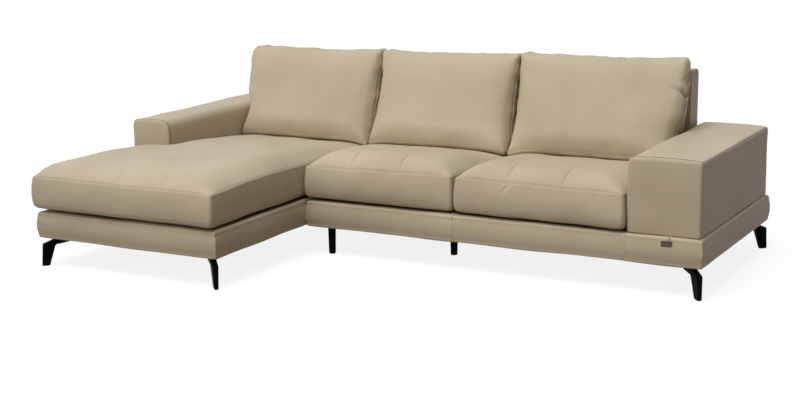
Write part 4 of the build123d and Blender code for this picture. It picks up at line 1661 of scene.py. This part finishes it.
@dataclass
class Arm:
    """An upholstered arm: top and inner side in one piece of hide, front and outer side in another.

    Attributes:
        end: Which end of the sofa it stands at.
    """

    end: End
    inner_round: float = 0.020
    outer_round: float = 0.013
    crown: float = 0.006
    bulge: float = 0.004
    front_round: float = 0.011
    seam_round: float = 0.006
    rear_round: float = 0.014
    foot_round: float = 0.006
    puff: float = 0.0035
    welt: float = 0.0021
    # How much painted shade darkens the welts.
    welt_shade: float = 0.75
    seam: Seam = Seam(0.0035, 0.0022, 0.6)
    looseness: Waves = Waves(0.30, 0.0014)
    panel_looseness: Waves = Waves(0.16, 0.0014)
    fill: float = 0.95

    def __post_init__(self) -> None:
        """Takes the arm's place from its CAD nodes."""
        self.name = f"{self.end.name.lower()}_arm"
        self.low, self.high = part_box(f"{self.name}_cover")
        self.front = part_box(f"{self.name}_front_panel")[0].y
        self.top = self.high.z - self.crown
        self.seat_x, self.far_x = (
            (self.low.x, self.high.x) if self.end is End.RIGHT else (self.high.x, self.low.x)
        )

    def across(self, x: Array) -> Array:
        """Returns each place as a share of the way from the seat's side to the far side."""
        return (x - self.seat_x) / (self.far_x - self.seat_x)

    def block(self, y0: float, y1: float, front_round: bool, rear_round: bool) -> Draft:
        """A length of the arm.

        Args:
            y0: Its front.
            y1: Its rear.
            front_round: Whether its front edges are rounded.
            rear_round: Whether its rear edges are rounded.

        Returns:
            The shaped length, without seams.
        """
        ends = [self.low.x, self.high.x]
        xs = graded(*ends, 0.024, [*ends])
        zs = graded(self.low.z, self.top, 0.024, [self.low.z, self.top])
        depths = graded(0, y1 - y0, 0.028, [0, y1 - y0])
        rest, quads = prism(xs, zs, depths)
        x, z, out = rest.T
        ahead, behind = y1 - y0 - out, out
        drawn_foot = quarter(z - self.low.z, self.foot_round, self.foot_round)
        drawn_seat, drawn_far = drawn_foot.copy(), drawn_foot.copy()
        if front_round:
            drawn_seat += quarter(ahead, self.seam_round, self.seam_round)
            drawn_far += quarter(ahead, self.front_round, self.front_round)
        if rear_round:
            drawn_seat += quarter(behind, self.rear_round, self.rear_round)
            drawn_far += quarter(behind, self.rear_round, self.rear_round)
        share = self.across(x)
        way = int(self.end.value)
        flat_x = x + way * (drawn_seat * (1 - share) - drawn_far * share)
        flat_z = z - drawn_seat * (z - self.low.z) / (self.top - self.low.z)
        flat = np.stack([flat_x, flat_z], axis=1)
        corners = [
            Corner(self.seat_x, self.top, -way, 1, self.inner_round),
            Corner(self.far_x, self.top, way, 1, self.outer_round),
        ]
        round_corners(flat, corners, drawn_seat)
        tall = unit((flat[:, 1] - self.low.z) / (self.top - self.low.z))
        level = self.across(flat[:, 0])
        flat[:, 1] += self.crown * (1 - (2 * level - 1) ** 2) * tall
        flat[:, 0] += way * self.bulge * (2 * tall - 1) ** 2 * (1 - level)
        level_y = y1 - out + drawn_foot * (out / (y1 - y0) if front_round else 0)
        points = np.stack([flat[:, 0], level_y, flat[:, 1]], axis=1)
        return Draft(points, quads, np.stack([x, y1 - out, z], axis=1), np.zeros(len(x)))

    def edge_seam(self, made: Draft) -> Array:
        """Finds the seam along the upper far edge.

        Args:
            made: A length of the arm.

        Returns:
            How near each point is to it, from 0 to 1.
        """
        x, _, z = made.rest.T
        on_top, on_side = z > self.top - TOUCH, np.abs(x - self.far_x) < TOUCH
        away = np.where(on_top, np.abs(self.far_x - x), np.where(on_side, self.top - z, FAR))
        return bell(away, self.seam.width)

    def build(self) -> None:
        """Makes the cover, the front panel and the welts."""
        split = self.low.y
        cover = self.block(split, self.high.y, False, True)
        x, y, z = cover.rest.T
        share = self.across(x)
        seamed = (z > self.top - TOUCH) | (share < TOUCH)
        front_seam = bell(y - split, self.seam.width) * seamed
        edge = self.edge_seam(cover)
        slow = ripples(cover.rest, self.looseness.length, 60 + self.end.value)
        inside = (y > split + TOUCH) & (z > self.low.z + TOUCH)
        push = self.looseness.height * slow - self.seam.depth * (front_seam + edge)
        cover.push(push * inside - 0.0012 * front_seam)
        # Painted shade along the front seam and along the upper far edge's seam.
        cover.shade(self.seam.shade * front_seam)
        cover.shade(self.seam.shade * edge)
        pad(cover, f"{self.name}_cover", self.fill)
        panel = self.block(self.front, split, True, False)
        self.dress_panel(panel, split)
        pad(panel, f"{self.name}_front_panel", self.fill)
        self.add_welts(cover)

    def dress_panel(self, panel: Draft, split: float) -> None:
        """Puffs the front panel out, draws in its seamed edges and paints shade along the seam
        where it meets the cover.

        Args:
            panel: The shaped panel.
            split: Where it meets the cover.
        """
        x, y, z = panel.rest.T
        face = y < self.front + TOUCH
        share, tall = self.across(x), (z - self.low.z) / (self.top - self.low.z)
        puff = (1 - (2 * share - 1) ** 4) * (1 - (2 * tall - 1) ** 4) * face
        seamed = (z > self.top - TOUCH) | (share < TOUCH)
        seam = bell(split - y, self.seam.width) * seamed
        away = np.minimum(np.abs(x - self.seat_x), self.top - z)
        rim = bell(away, self.seam.width) * face
        slow = ripples(panel.rest, self.panel_looseness.length, 70 + self.end.value) * puff
        push = self.puff * puff + self.panel_looseness.height * slow
        panel.push(push - 0.0014 * seam - 0.0016 * rim)
        # Painted shade along the seam where the panel meets the cover.
        panel.shade(self.seam.shade * seam)

    def add_welts(self, cover: Draft) -> None:
        """Lays thin welts in the seam round the front and along the upper far edge.

        Args:
            cover: The sewn cover.
        """
        x, y, z = cover.rest.T
        facing = cover.normals()
        on_top, on_inside = z > self.top - TOUCH, np.abs(x - self.seat_x) < TOUCH
        far = np.where((np.abs(x - self.far_x) < TOUCH) & on_top)[0]
        far = far[np.argsort(y[far])]
        along_top = cover.points[far] + 0.0008 * facing[far]
        front = np.where((np.abs(y - self.low.y) < TOUCH) & (on_top | on_inside))[0]
        order = np.where(on_top, 1 + self.across(x), z - self.low.z)
        ring = front[np.argsort(order[front])]
        round_front = cover.points[ring] + 0.0006 * facing[ring]
        round_front[:, 1] -= 0.0004
        lay_welts(f"{self.name}_welts", [along_top, round_front], self.welt, self.welt_shade)


@dataclass
class BackRest:
    """The upholstered back of one module.

    Attributes:
        node: The CAD node that it stands for.
    """

    node: str
    front_round: float = 0.026
    rear_round: float = 0.016
    end_round: float = 0.010
    crown: float = 0.004
    puff: float = 0.004
    seed: int = 80
    welt: float = 0.0021
    # How much painted shade darkens the welts.
    welt_shade: float = 0.55
    end_seam: Seam = Seam(0.0032, 0.002, 0.55)
    ridge_seam: Seam = Seam(0.0034, 0.002, 0.55)
    looseness: Waves = Waves(0.34, 0.0012)
    fill: float = 0.9

    def build(self) -> None:
        """Makes the cover and the welts round its ends."""
        low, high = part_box(self.node)
        top = high.z - self.crown
        ys = graded(low.y, high.y, 0.022, [low.y, high.y])
        zs = graded(low.z, top, 0.03, [low.z, top])
        ends = graded(low.x, high.x, 0.034, [low.x, high.x])
        rest, quads = prism(ys, zs, ends)
        y, z, x = rest.T
        drawn = quarter(np.minimum(x - low.x, high.x - x), self.end_round, self.end_round * 0.7)
        tall = (z - low.z) / (top - low.z)
        flat = np.stack([draw_in(y, [low.y, high.y], [1, -1], drawn), z - drawn * tall], axis=1)
        corners = [
            Corner(low.y, top, -1, 1, self.front_round),
            Corner(high.y, top, 1, 1, self.rear_round),
        ]
        round_corners(flat, corners, drawn)
        level = (flat[:, 0] - low.y) / (high.y - low.y)
        flat[:, 1] += self.crown * (1 - (2 * level - 1) ** 2) * tall
        points = np.stack([x, flat[:, 0], flat[:, 1]], axis=1)
        made = Draft(points, quads, np.stack([x, y, z], axis=1), np.zeros(len(x)))
        self.sew(made, low, high, top)
        pad(made, self.node, self.fill)
        self.add_welts(made, low, high, top)

    def sew(self, made: Draft, low: Vector, high: Vector, top: float) -> None:
        """Draws in the seams round the ends and along the upper rear edge, with painted shade along
        them.

        Args:
            made: The shaped cover.
            low: Its lowest corner.
            high: Its highest corner.
            top: Its level below the crown.
        """
        x, y, z = made.rest.T
        to_end = np.minimum(x - low.x, high.x - x)
        on_end = to_end < TOUCH
        skin = (y < low.y + TOUCH) | (y > high.y - TOUCH) | (z > top - TOUCH)
        seam = bell(np.abs(to_end - LADDER[2]), self.end_seam.width) * skin
        rear = y > high.y - TOUCH
        away = np.where(rear, top - z, np.where(z > top - TOUCH, high.y - y, FAR))
        ridge = bell(away, self.ridge_seam.width)
        slow = ripples(made.rest, self.looseness.length, self.seed)
        tall = (z - low.z) / (top - low.z)
        puff = (1 - (2 * tall - 1) ** 4) * shoulder(to_end, 0.12) * rear
        push = self.looseness.height * slow + self.puff * puff
        # Each seam is drawn in and gets painted shade along its line.
        for kind, line in ((self.end_seam, seam), (self.ridge_seam, ridge)):
            push -= kind.depth * line
            made.shade(kind.shade * line)
        made.push(push * (z > low.z + TOUCH) * ~on_end)

    def add_welts(self, made: Draft, low: Vector, high: Vector, top: float) -> None:
        """Lays thin welts round both ends and along the upper rear edge.

        Args:
            made: The sewn cover.
            low: Its lowest corner.
            high: Its highest corner.
            top: Its level below the crown.
        """
        x, y, z = made.rest.T
        facing = made.normals()
        lines = []
        for level in (low.x + LADDER[2], high.x - LADDER[2]):
            ids = np.where(np.abs(x - level) < TOUCH)[0]
            front = np.where(y[ids] < low.y + TOUCH, z[ids] - low.z, 0)
            over = np.where(z[ids] > top - TOUCH, 1 + (y[ids] - low.y), 0)
            behind = (y[ids] > high.y - TOUCH) & (z[ids] < top - TOUCH)
            back = np.where(behind, 3 - (z[ids] - low.z), 0)
            order = np.maximum(np.maximum(front * (over == 0), over), back)
            kept = order > 0
            ring = ids[kept][np.argsort(order[kept])]
            lines.append(made.points[ring] + 0.0007 * facing[ring])
        ids = np.where((y > high.y - TOUCH) & (z > top - TOUCH))[0]
        ids = ids[np.argsort(x[ids])]
        lines.append(made.points[ids] + 0.0007 * facing[ids])
        lay_welts(self.node.replace("_cover", "_welts"), lines, self.welt, self.welt_shade)


@dataclass
class SeatDeck:
    """A thin pad under dark cloth that carries the seat cushions.

    Attributes:
        node: The CAD node that it stands for.
        notch: The corner that an arm cuts away, if any.
    """

    node: str
    notch: tuple[float, float] | None = None
    edge: float = 0.007
    dip: float = 0.0015
    row: float = 0.16
    step: float = 0.05
    fill: float = 0.9

    def build(self) -> None:
        """Makes the pad, quilted in rows across it."""
        low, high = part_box(self.node)
        rows = [low.y + self.row * k for k in range(1, int((high.y - low.y) / self.row))]
        stops_x, stops_y = [low.x, high.x], [low.y, high.y]
        if self.notch:
            stops_x.append(self.notch[0])
            stops_y.append(self.notch[1])
        xs = graded(low.x, high.x, self.step, stops_x)
        ys = graded(low.y, high.y, self.step, [*stops_y, *rows])
        rest, quads = prism(xs, ys, np.linspace(low.z, high.z, 6), self.notch)
        x, y, z = rest.T
        drawn = quarter(high.z - z, self.edge, self.edge)
        flat = draw_outline(rest, (low, high), self.notch, drawn, drawn)
        points = np.column_stack([flat, z])
        made = Draft(points, quads, rest, np.zeros(len(x)))
        top = z > high.z - TOUCH
        for line in rows:
            points[:, 2] -= self.dip * bell(y - line, 0.006) * top
        deck = place(made.piece(f"{self.node}_pad", DECK_CLOTH), FRAME_BODY, DECK_CLOTH, self.node)


@dataclass
class DustCover:
    """A thin cloth stapled under a base, which sags a little between the rails.

    Attributes:
        node: The CAD node that it stands for.
    """

    node: str
    sag: float = 0.004
    thickness: float = 0.0008
    lines: int = 41
    border: float = 0.045
    slope: float = 0.25
    looseness: Waves = Waves(0.3, 0.2)
    seed: int = 90

    def build(self) -> None:
        """Makes the cloth."""
        low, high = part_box(self.node)
        xs = np.linspace(low.x, high.x, self.lines)
        ys = np.linspace(low.y, high.y, self.lines)
        rest, quads = prism(xs, ys, np.array([high.z - self.thickness, high.z]))
        x, y, _ = rest.T
        away = np.min([x - low.x, high.x - x, y - low.y, high.y - y], axis=0)
        points = rest.copy()
        hang = np.sin(unit((away - self.border) / self.slope) * math.pi / 2)
        uneven = 1 + self.looseness.height * ripples(rest, self.looseness.length, self.seed)
        points[:, 2] -= self.sag * hang * uneven
        made = Draft(points, quads, rest, np.zeros(len(x)))
        piece = made.piece(f"{self.node}_cloth", DUST_CLOTH)
        cloth = place(piece, FRAME_BODY, DUST_CLOTH, self.node)

    def rails(self) -> list[str]:
        """Returns the rails that the cloth is stapled to."""
        module = self.node.split("_")[0]
        return [f"{module}_long_rails", f"{module}_cross_rails"]


@dataclass
class Tag:
    """A small bare metal plate that hangs on a strap from the crease under the right arm."""

    x: float = 1.2560
    z: float = 0.2222
    width: float = 0.046
    height: float = 0.024
    thickness: float = 0.0022
    corner: float = 0.003
    strap_x: float = 1.2690
    strap_width: float = 0.005
    strap_top: float = 0.2495
    strap_thickness: float = 0.0009
    strap_gap: float = 0.0028
    strap_bend: float = 0.0135
    strap_shift: float = 0.004
    tilt: float = 3.0
    gap: float = 0.0012
    bevel: float = 0.0010
    rim: float = 0.0022
    pressing: float = 0.0006

    def build(self) -> None:
        """Makes the plate, its pressed rim and its strap."""
        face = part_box("main_arm_band")[0].y
        across = np.linspace(-self.width / 2, self.width / 2, 25)
        tall = np.linspace(-self.height / 2, self.height / 2, 15)
        rest, quads = prism(across, tall, np.array([0, 0.4, 0.75, 1.0]) * self.thickness)
        u, v, out = rest.T
        drawn = quarter(self.thickness - out, self.bevel, self.bevel)
        half_u, half_v = self.width / 2, self.height / 2
        flat = np.stack([u * (1 - drawn / half_u), v * (1 - drawn / half_v)], axis=1)
        signs = [(a, b) for a in (-1, 1) for b in (-1, 1)]
        corners = [Corner(a * half_u, b * half_v, a, b, self.corner) for a, b in signs]
        round_corners(flat, corners, drawn)
        inner = np.minimum(half_u - np.abs(u), half_v - np.abs(v))
        pressed = unit((inner - self.rim) / 0.001) * (out > self.thickness * 0.9)
        depth = out - self.pressing * pressed
        turn = math.radians(self.tilt)
        x = self.x + flat[:, 0] * math.cos(turn) - flat[:, 1] * math.sin(turn)
        z = self.z + flat[:, 0] * math.sin(turn) + flat[:, 1] * math.cos(turn)
        points = np.stack([x, face - self.gap - depth, z], axis=1)
        plate = Draft(points, quads, points.copy(), np.zeros(len(points)))
        place(plate.piece("tag_plate", TAG_METAL), FRAME_BODY, TAG_METAL)
        self.add_strap(face)

    def add_strap(self, face: float) -> None:
        """Makes the narrow strap that runs from the crease into the plate's slot.

        Args:
            face: The place of the band's face.
        """
        foot = self.z + self.height / 2 - 0.004
        up = np.linspace(foot, self.strap_top, 16)
        lean = (up - foot) / (self.strap_top - foot)
        xs = np.linspace(-self.strap_width / 2, self.strap_width / 2, 5)
        rest, quads = prism(xs, up, np.array([0, self.strap_thickness]))
        u, z, out = rest.T
        share = np.interp(z, up, lean)
        y = face - self.strap_gap - out
        y += self.strap_bend * unit(share - 0.35) ** 1.5 / 0.65**1.5
        points = np.stack([self.strap_x + u - self.strap_shift * share, y, z], axis=1)
        strap = Draft(points, quads, points.copy(), np.full(len(points), 0.85))
        place(strap.piece("tag_strap", LEATHER), FRAME_BODY, LEATHER)


# Finishes of the nodes that keep their own shape, by the first of these parts in their names
HARD_FINISHES = {
    "support_leg": PLASTIC,
    "glides": GLIDE,
    "_leg": CAST_METAL,
    "screws": STEEL,
    "bolts": STEEL,
    "plates": STEEL,
    "webbing": WEBBING,
    "rails": TIMBER,
    "blocks": TIMBER,
    "posts": TIMBER,
    "_frame": TIMBER,
}


@dataclass
class HardParts:
    """The CAD pieces that keep their own shape: legs, fasteners, webbing and timber frames."""

    edge: float = 0.0012

    def dress(self) -> None:
        """Gives each of these nodes its finish, and the legs soft edges."""
        for name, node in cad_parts.items():
            finish = next((kind for part, kind in HARD_FINISHES.items() if part in name), None)
            if finish is None:
                continue
            node.data.materials.clear()
            node.data.materials.append(finish.material())
            if finish in (CAST_METAL, PLASTIC):
                bevel = node.modifiers.new("soft_edges", "BEVEL")
                bevel.width, bevel.segments = self.edge, 2
                bevel.limit_method, bevel.angle_limit = "ANGLE", math.radians(35)
                bevel.harden_normals = False
            log.info("%s is finished as %s", name, finish.name)


# Studio


@dataclass(frozen=True)
class Sun:
    """A broad light: the way to it, how bright it is, how wide in degrees, and its colour."""

    name: str
    source: Triple
    strength: float
    angle: float
    colour: Triple

    def add(self) -> None:
        """Adds the light to the scene."""
        lamp = bpy.data.lights.new(self.name, "SUN")
        lamp.energy, lamp.angle, lamp.color = self.strength, math.radians(self.angle), self.colour
        light = link(self.name, lamp)
        light.rotation_mode = "QUATERNION"
        light.rotation_quaternion = Vector(self.source).to_track_quat("Z", "Y")


@dataclass
class Studio:
    """A pale floor, soft light from above and the left, and the camera."""

    azimuth: float = 28.27
    pitch: float = 12.28
    roll: float = -0.67
    target: Triple = (0.0463, -0.145, 0.25802)
    distance: float = 6.63874
    focal: float = 1519.87
    frame_width: float = 800.0
    floor_half: float = 60.0
    floor_glow: float = 0.86
    floor_bounce: Triple = (0.20, 0.150, 0.095)
    ambient: Triple = (1.0, 0.97, 0.93)
    dim: Triple = (0.07, 0.063, 0.05)
    ambient_strength: float = 0.40
    box_place: Triple = (0.2, -2.2, 3.6)
    box_size: tuple[float, float] = (3.0, 2.0)
    box_power: float = 50.0
    box_colour: Triple = (1.0, 0.97, 0.92)
    floor_paint: Triple = (0.22, 0.22, 0.22)
    film_width: float = 36.0
    farthest: float = 200.0
    suns: tuple[Sun, ...] = (
        Sun("key", (-0.13, -0.33, 1.0), 1.34, 40, (1.0, 0.99, 0.97)),
        Sun("front_fill", (-0.44, -1.0, 0.42), 0.58, 70, (1.0, 0.96, 0.90)),
    )

    def build(self) -> None:
        """Makes the floor, the light and the camera."""
        bpy.context.scene.view_settings.view_transform = "Standard"
        self.add_floor()
        self.add_world()
        for sun in self.suns:
            sun.add()
        self.add_softbox()
        self.add_camera()

    @staticmethod
    def choose(tree: Tree, lit: Node, shown: Node, output: Node) -> None:
        """Parts the rays that show a surface, also by mirror or glass, from those that light.

        Args:
            tree: The tree of all four nodes.
            lit: The shader that lights the sofa.
            shown: The shader that shows.
            output: The tree's output.
        """
        rays = tree.add("LightPath").outputs
        seen = tree.maths("MAXIMUM", rays["Is Camera Ray"], rays["Is Glossy Ray"])
        seen = tree.maths("MAXIMUM", seen, rays["Is Transmission Ray"])
        choice = tree.add("MixShader", {0: seen, 1: lit.outputs[0], 2: shown.outputs[0]})
        tree.feed(output, {"Surface": choice.outputs[0]})

    def add_floor(self) -> None:
        """Makes a wide floor that shows white and keeps the sofa's shadow."""
        half = self.floor_half
        mesh = bpy.data.meshes.new("floor")
        corners = [(-half, -half, 0), (half, -half, 0), (half, half, 0), (-half, half, 0)]
        mesh.from_pydata(corners, [], [(0, 1, 2, 3)])
        material = bpy.data.materials.new("pale_floor")
        material.use_nodes = True
        nodes = material.node_tree.nodes
        nodes.remove(nodes["Principled BSDF"])
        tree = Tree(material.node_tree)
        glow = tree.add("Emission", {"Strength": self.floor_glow})
        paint = tree.add("BsdfDiffuse", {"Color": (*self.floor_paint, 1)})
        shown = tree.add("AddShader", {0: glow.outputs[0], 1: paint.outputs[0]})
        bounce = tree.add("BsdfDiffuse", {"Color": (*self.floor_bounce, 1)})
        self.choose(tree, bounce, shown, nodes["Material Output"])
        mesh.materials.append(material)
        floor = link("floor", mesh)

    def add_world(self) -> None:
        """Makes soft light from all round, weaker from the right, behind a white background."""
        world = bpy.data.worlds.new("studio")
        bpy.context.scene.world = world
        world.use_nodes = True
        nodes = world.node_tree.nodes
        tree = Tree(world.node_tree)
        light = nodes["Background"]
        split = tree.add("SeparateXYZ", {0: tree.add("TexCoord").outputs["Generated"]})
        share = tree.spread(split.outputs["X"], -0.3, 0.8, 0.0, 1.0)
        colour = tree.blend(share, self.ambient, self.dim)
        tree.feed(light, {"Color": colour, "Strength": self.ambient_strength})
        white = tree.add("Background", {"Color": (1, 1, 1, 1)})
        self.choose(tree, light, white, nodes["World Output"])

    def add_softbox(self) -> None:
        """Adds the near light above the front, which reaches the faces that look inwards."""
        lamp = bpy.data.lights.new("softbox", "AREA")
        lamp.shape, lamp.size, lamp.size_y = "RECTANGLE", *self.box_size
        lamp.energy, lamp.color = self.box_power, self.box_colour
        light = link("softbox", lamp)
        light.location = self.box_place
        light.rotation_mode = "QUATERNION"
        away = Vector(self.box_place) - Vector(self.target)
        light.rotation_quaternion = away.to_track_quat("Z", "Y")
        light.visible_camera = light.visible_glossy = False

    def add_camera(self) -> None:
        """Makes the camera at the photograph's place."""
        turn, dip, roll = (math.radians(a) for a in (self.azimuth, self.pitch, self.roll))
        across, along = math.cos(turn), math.sin(turn)
        ahead = Vector((-along * math.cos(dip), across * math.cos(dip), -math.sin(dip)))
        level = Vector((across, along, 0))
        upright = level.cross(ahead)
        right = level * math.cos(roll) + upright * math.sin(roll)
        up = upright * math.cos(roll) - level * math.sin(roll)
        spot = Vector(self.target) - ahead * self.distance
        lens = bpy.data.cameras.new("camera")
        lens.sensor_width = self.film_width
        lens.lens = self.focal / self.frame_width * lens.sensor_width
        lens.clip_end = self.farthest
        camera = link("camera", lens)
        columns = [(*axis, 0) for axis in (right, up, -ahead)]
        camera.matrix_world = Matrix([*columns, (*spot, 1)]).transposed()
        bpy.context.scene.camera = camera


@dataclass
class Cushions:
    """All the loose cushions."""

    rear: tuple[tuple[float, float], ...] = (
        (0.4284, 0.0072),
        (0.2856, 0.0032),
        (0.1512, -0.0036),
        (0.018, -0.0125),
        (0.0, -0.0135),
    )
    seat_crown: float = 0.056
    chaise_crown: float = 0.046
    seam_rise: float = 0.009
    full_from: float = 0.1176
    full_to: float = 0.5712
    channel_shift: float = 0.014
    chaise_start: float = 0.268
    chaise_pitch: float = 0.239
    gap: float = 0.004

    def stations(
        self, node: str, front_rise: float, crown: float, rear: Sequence[float]
    ) -> list[Triple]:
        """Lists a cushion's stations from its front to its rear.

        Args:
            node: The cushion's CAD node.
            front_rise: How far its upper seam stands above the box at the front.
            crown: Its full crown.
            rear: Its crowns from the full one to the rear edge.

        Returns:
            Distance from the front, rise of the seam and crown at each station.
        """
        low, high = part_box(node)
        depth = high.y - low.y
        made = [(0.0, front_rise, crown), (self.full_from, self.seam_rise, crown)]
        made.append((depth - self.full_to, self.seam_rise, crown * rear[0]))
        for (back, seam), height in zip(self.rear, rear[1:]):
            made.append((depth - back, seam, height))
        return made

    def seat(
        self, node: str, tilt: float, rear: Sequence[float], wrinkles: float, seed: int
    ) -> SeatCushion:
        """Plans one of the two plain seat cushions.

        Args:
            node: Its CAD node.
            tilt: How much higher its upper seam is at the right end of the front.
            rear: Its crowns towards the rear.
            wrinkles: Strength of the folds on its front.
            seed: Chooses its gathers.

        Returns:
            The cushion.
        """
        low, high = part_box(node)
        third = (high.x - low.x) / 3
        deep = [(0, 0.001), (0.025, 0.005), (0.07, 0.006), (0.12, 0.003), (0.17, 0.0008)]
        deep += [(0.27, 0.0008), (0.36, 0.0008), (0.41, 0.004), (0.46, 0.002), (0.60, 0.003)]
        deep += [(0.84, 0.003)]
        channels = [(third * part + self.channel_shift, 1.0) for part in (1, 2)]
        shape = self.stations(node, 0.007, self.seat_crown, rear)
        return SeatCushion(node, shape, channels, deep, wrinkles=wrinkles, tilt=tilt, seed=seed)

    def chaise(self) -> SeatCushion:
        """Plans the long cushion, notched round the left arm.

        Returns:
            The cushion.
        """
        deep = [(0, 0.001), (0.025, 0.006), (0.06, 0.005), (0.11, 0.001), (0.36, 0.0004)]
        deep += [(0.42, 0.002), (0.48, 0.0004), (0.69, 0.0004), (0.75, 0.002), (0.81, 0.0004)]
        deep += [(1.1, 0.001), (1.28, 0.003), (1.555, 0.003)]
        strengths = (0.7, 0.5, 0.25)
        channels = [(self.chaise_start + self.chaise_pitch * k, s) for k, s in enumerate(strengths)]
        node = "chaise_cushion"
        return SeatCushion(
            node,
            self.stations(node, 0.0, self.chaise_crown, (0.9, 0.028, 0.014, 0.010, 0.007, 0.006)),
            channels,
            deep,
            notch=arm_notch(self.gap),
            wrinkles=0.15,
            left_brow=(0.08, 0.52),
            left_fullness=4.3,
            left_puff=0.008,
            right_fall=(0.170, 2.3),
            right_drop=0.007,
            fullness=4.3,
            swell=0.002,
            seed=31,
        )

    def build(self) -> None:
        """Makes the three seat cushions and the three back cushions on them."""
        chaise = self.chaise()
        left_rear = (0.88, 0.034, 0.018, 0.013, 0.008, 0.006)
        right_rear = (0.92, 0.042, 0.028, 0.019, 0.010, 0.006)
        left = self.seat("seat_cushion_left", 0.014, left_rear, wrinkles=0.2, seed=3)
        right = self.seat("seat_cushion_right", -0.007, right_rear, wrinkles=1.0, seed=13)
        for seat in (chaise, left, right):
            seat.build()
        BackCushion("back_cushion_left", chaise, (-0.019, -0.009), (0.026, 0.0), seed=21).build()
        BackCushion("back_cushion_centre", left, (-0.009, 0.005), seed=25).build()
        swollen = (0.0, 0.030)
        BackCushion("back_cushion_right", right, (0.012, 0.015), swollen, fold=1.0, seed=29).build()


@dataclass
class Upholstery:
    """The leather and cloth that are fixed to the two base frames."""

    gap: float = 0.002

    def build(self) -> None:
        """Makes the bands, arms, backs, decks, dust covers and the tag."""
        for number, (node, side, mitres, roll) in enumerate(
            (
                ("chaise_front_band", Side.FRONT, (True, True), 0.022),
                ("chaise_right_band", Side.RIGHT, (True, True), 0.010),
                ("chaise_rear_band", Side.REAR, (True, True), 0.016),
                ("chaise_left_band", Side.LEFT, (True, True), 0.016),
                ("main_front_band_left", Side.FRONT, (True, False), 0.022),
                ("main_front_band_right", Side.FRONT, (False, False), 0.022),
                ("main_arm_band", Side.FRONT, (False, True), 0.022),
                ("main_right_band", Side.RIGHT, (True, True), 0.016),
                ("main_rear_band", Side.REAR, (True, True), 0.016),
                ("main_left_band", Side.LEFT, (True, True), 0.016),
            )
        ):
            BaseBand(node, side, mitres, roll, seed=40 + 2 * number).build()
        Arm(End.LEFT, inner_round=0.036, outer_round=0.024).build()
        Arm(End.RIGHT).build()
        for node in ("chaise_back_cover", "main_back_cover"):
            BackRest(node).build()
        SeatDeck("chaise_deck", arm_notch(self.gap)).build()
        SeatDeck("main_deck").build()
        for node in ("chaise_dust_cover", "main_dust_cover"):
            DustCover(node).build()
        Tag().build()


def main() -> None:
    """Builds the scene and reports each piece."""
    logging.basicConfig(level=logging.INFO, format="%(name)s: %(message)s")
    Studio().build()
    HardParts().dress()
    Upholstery().build()
    Cushions().build()


if __name__ == "__main__":
    main()
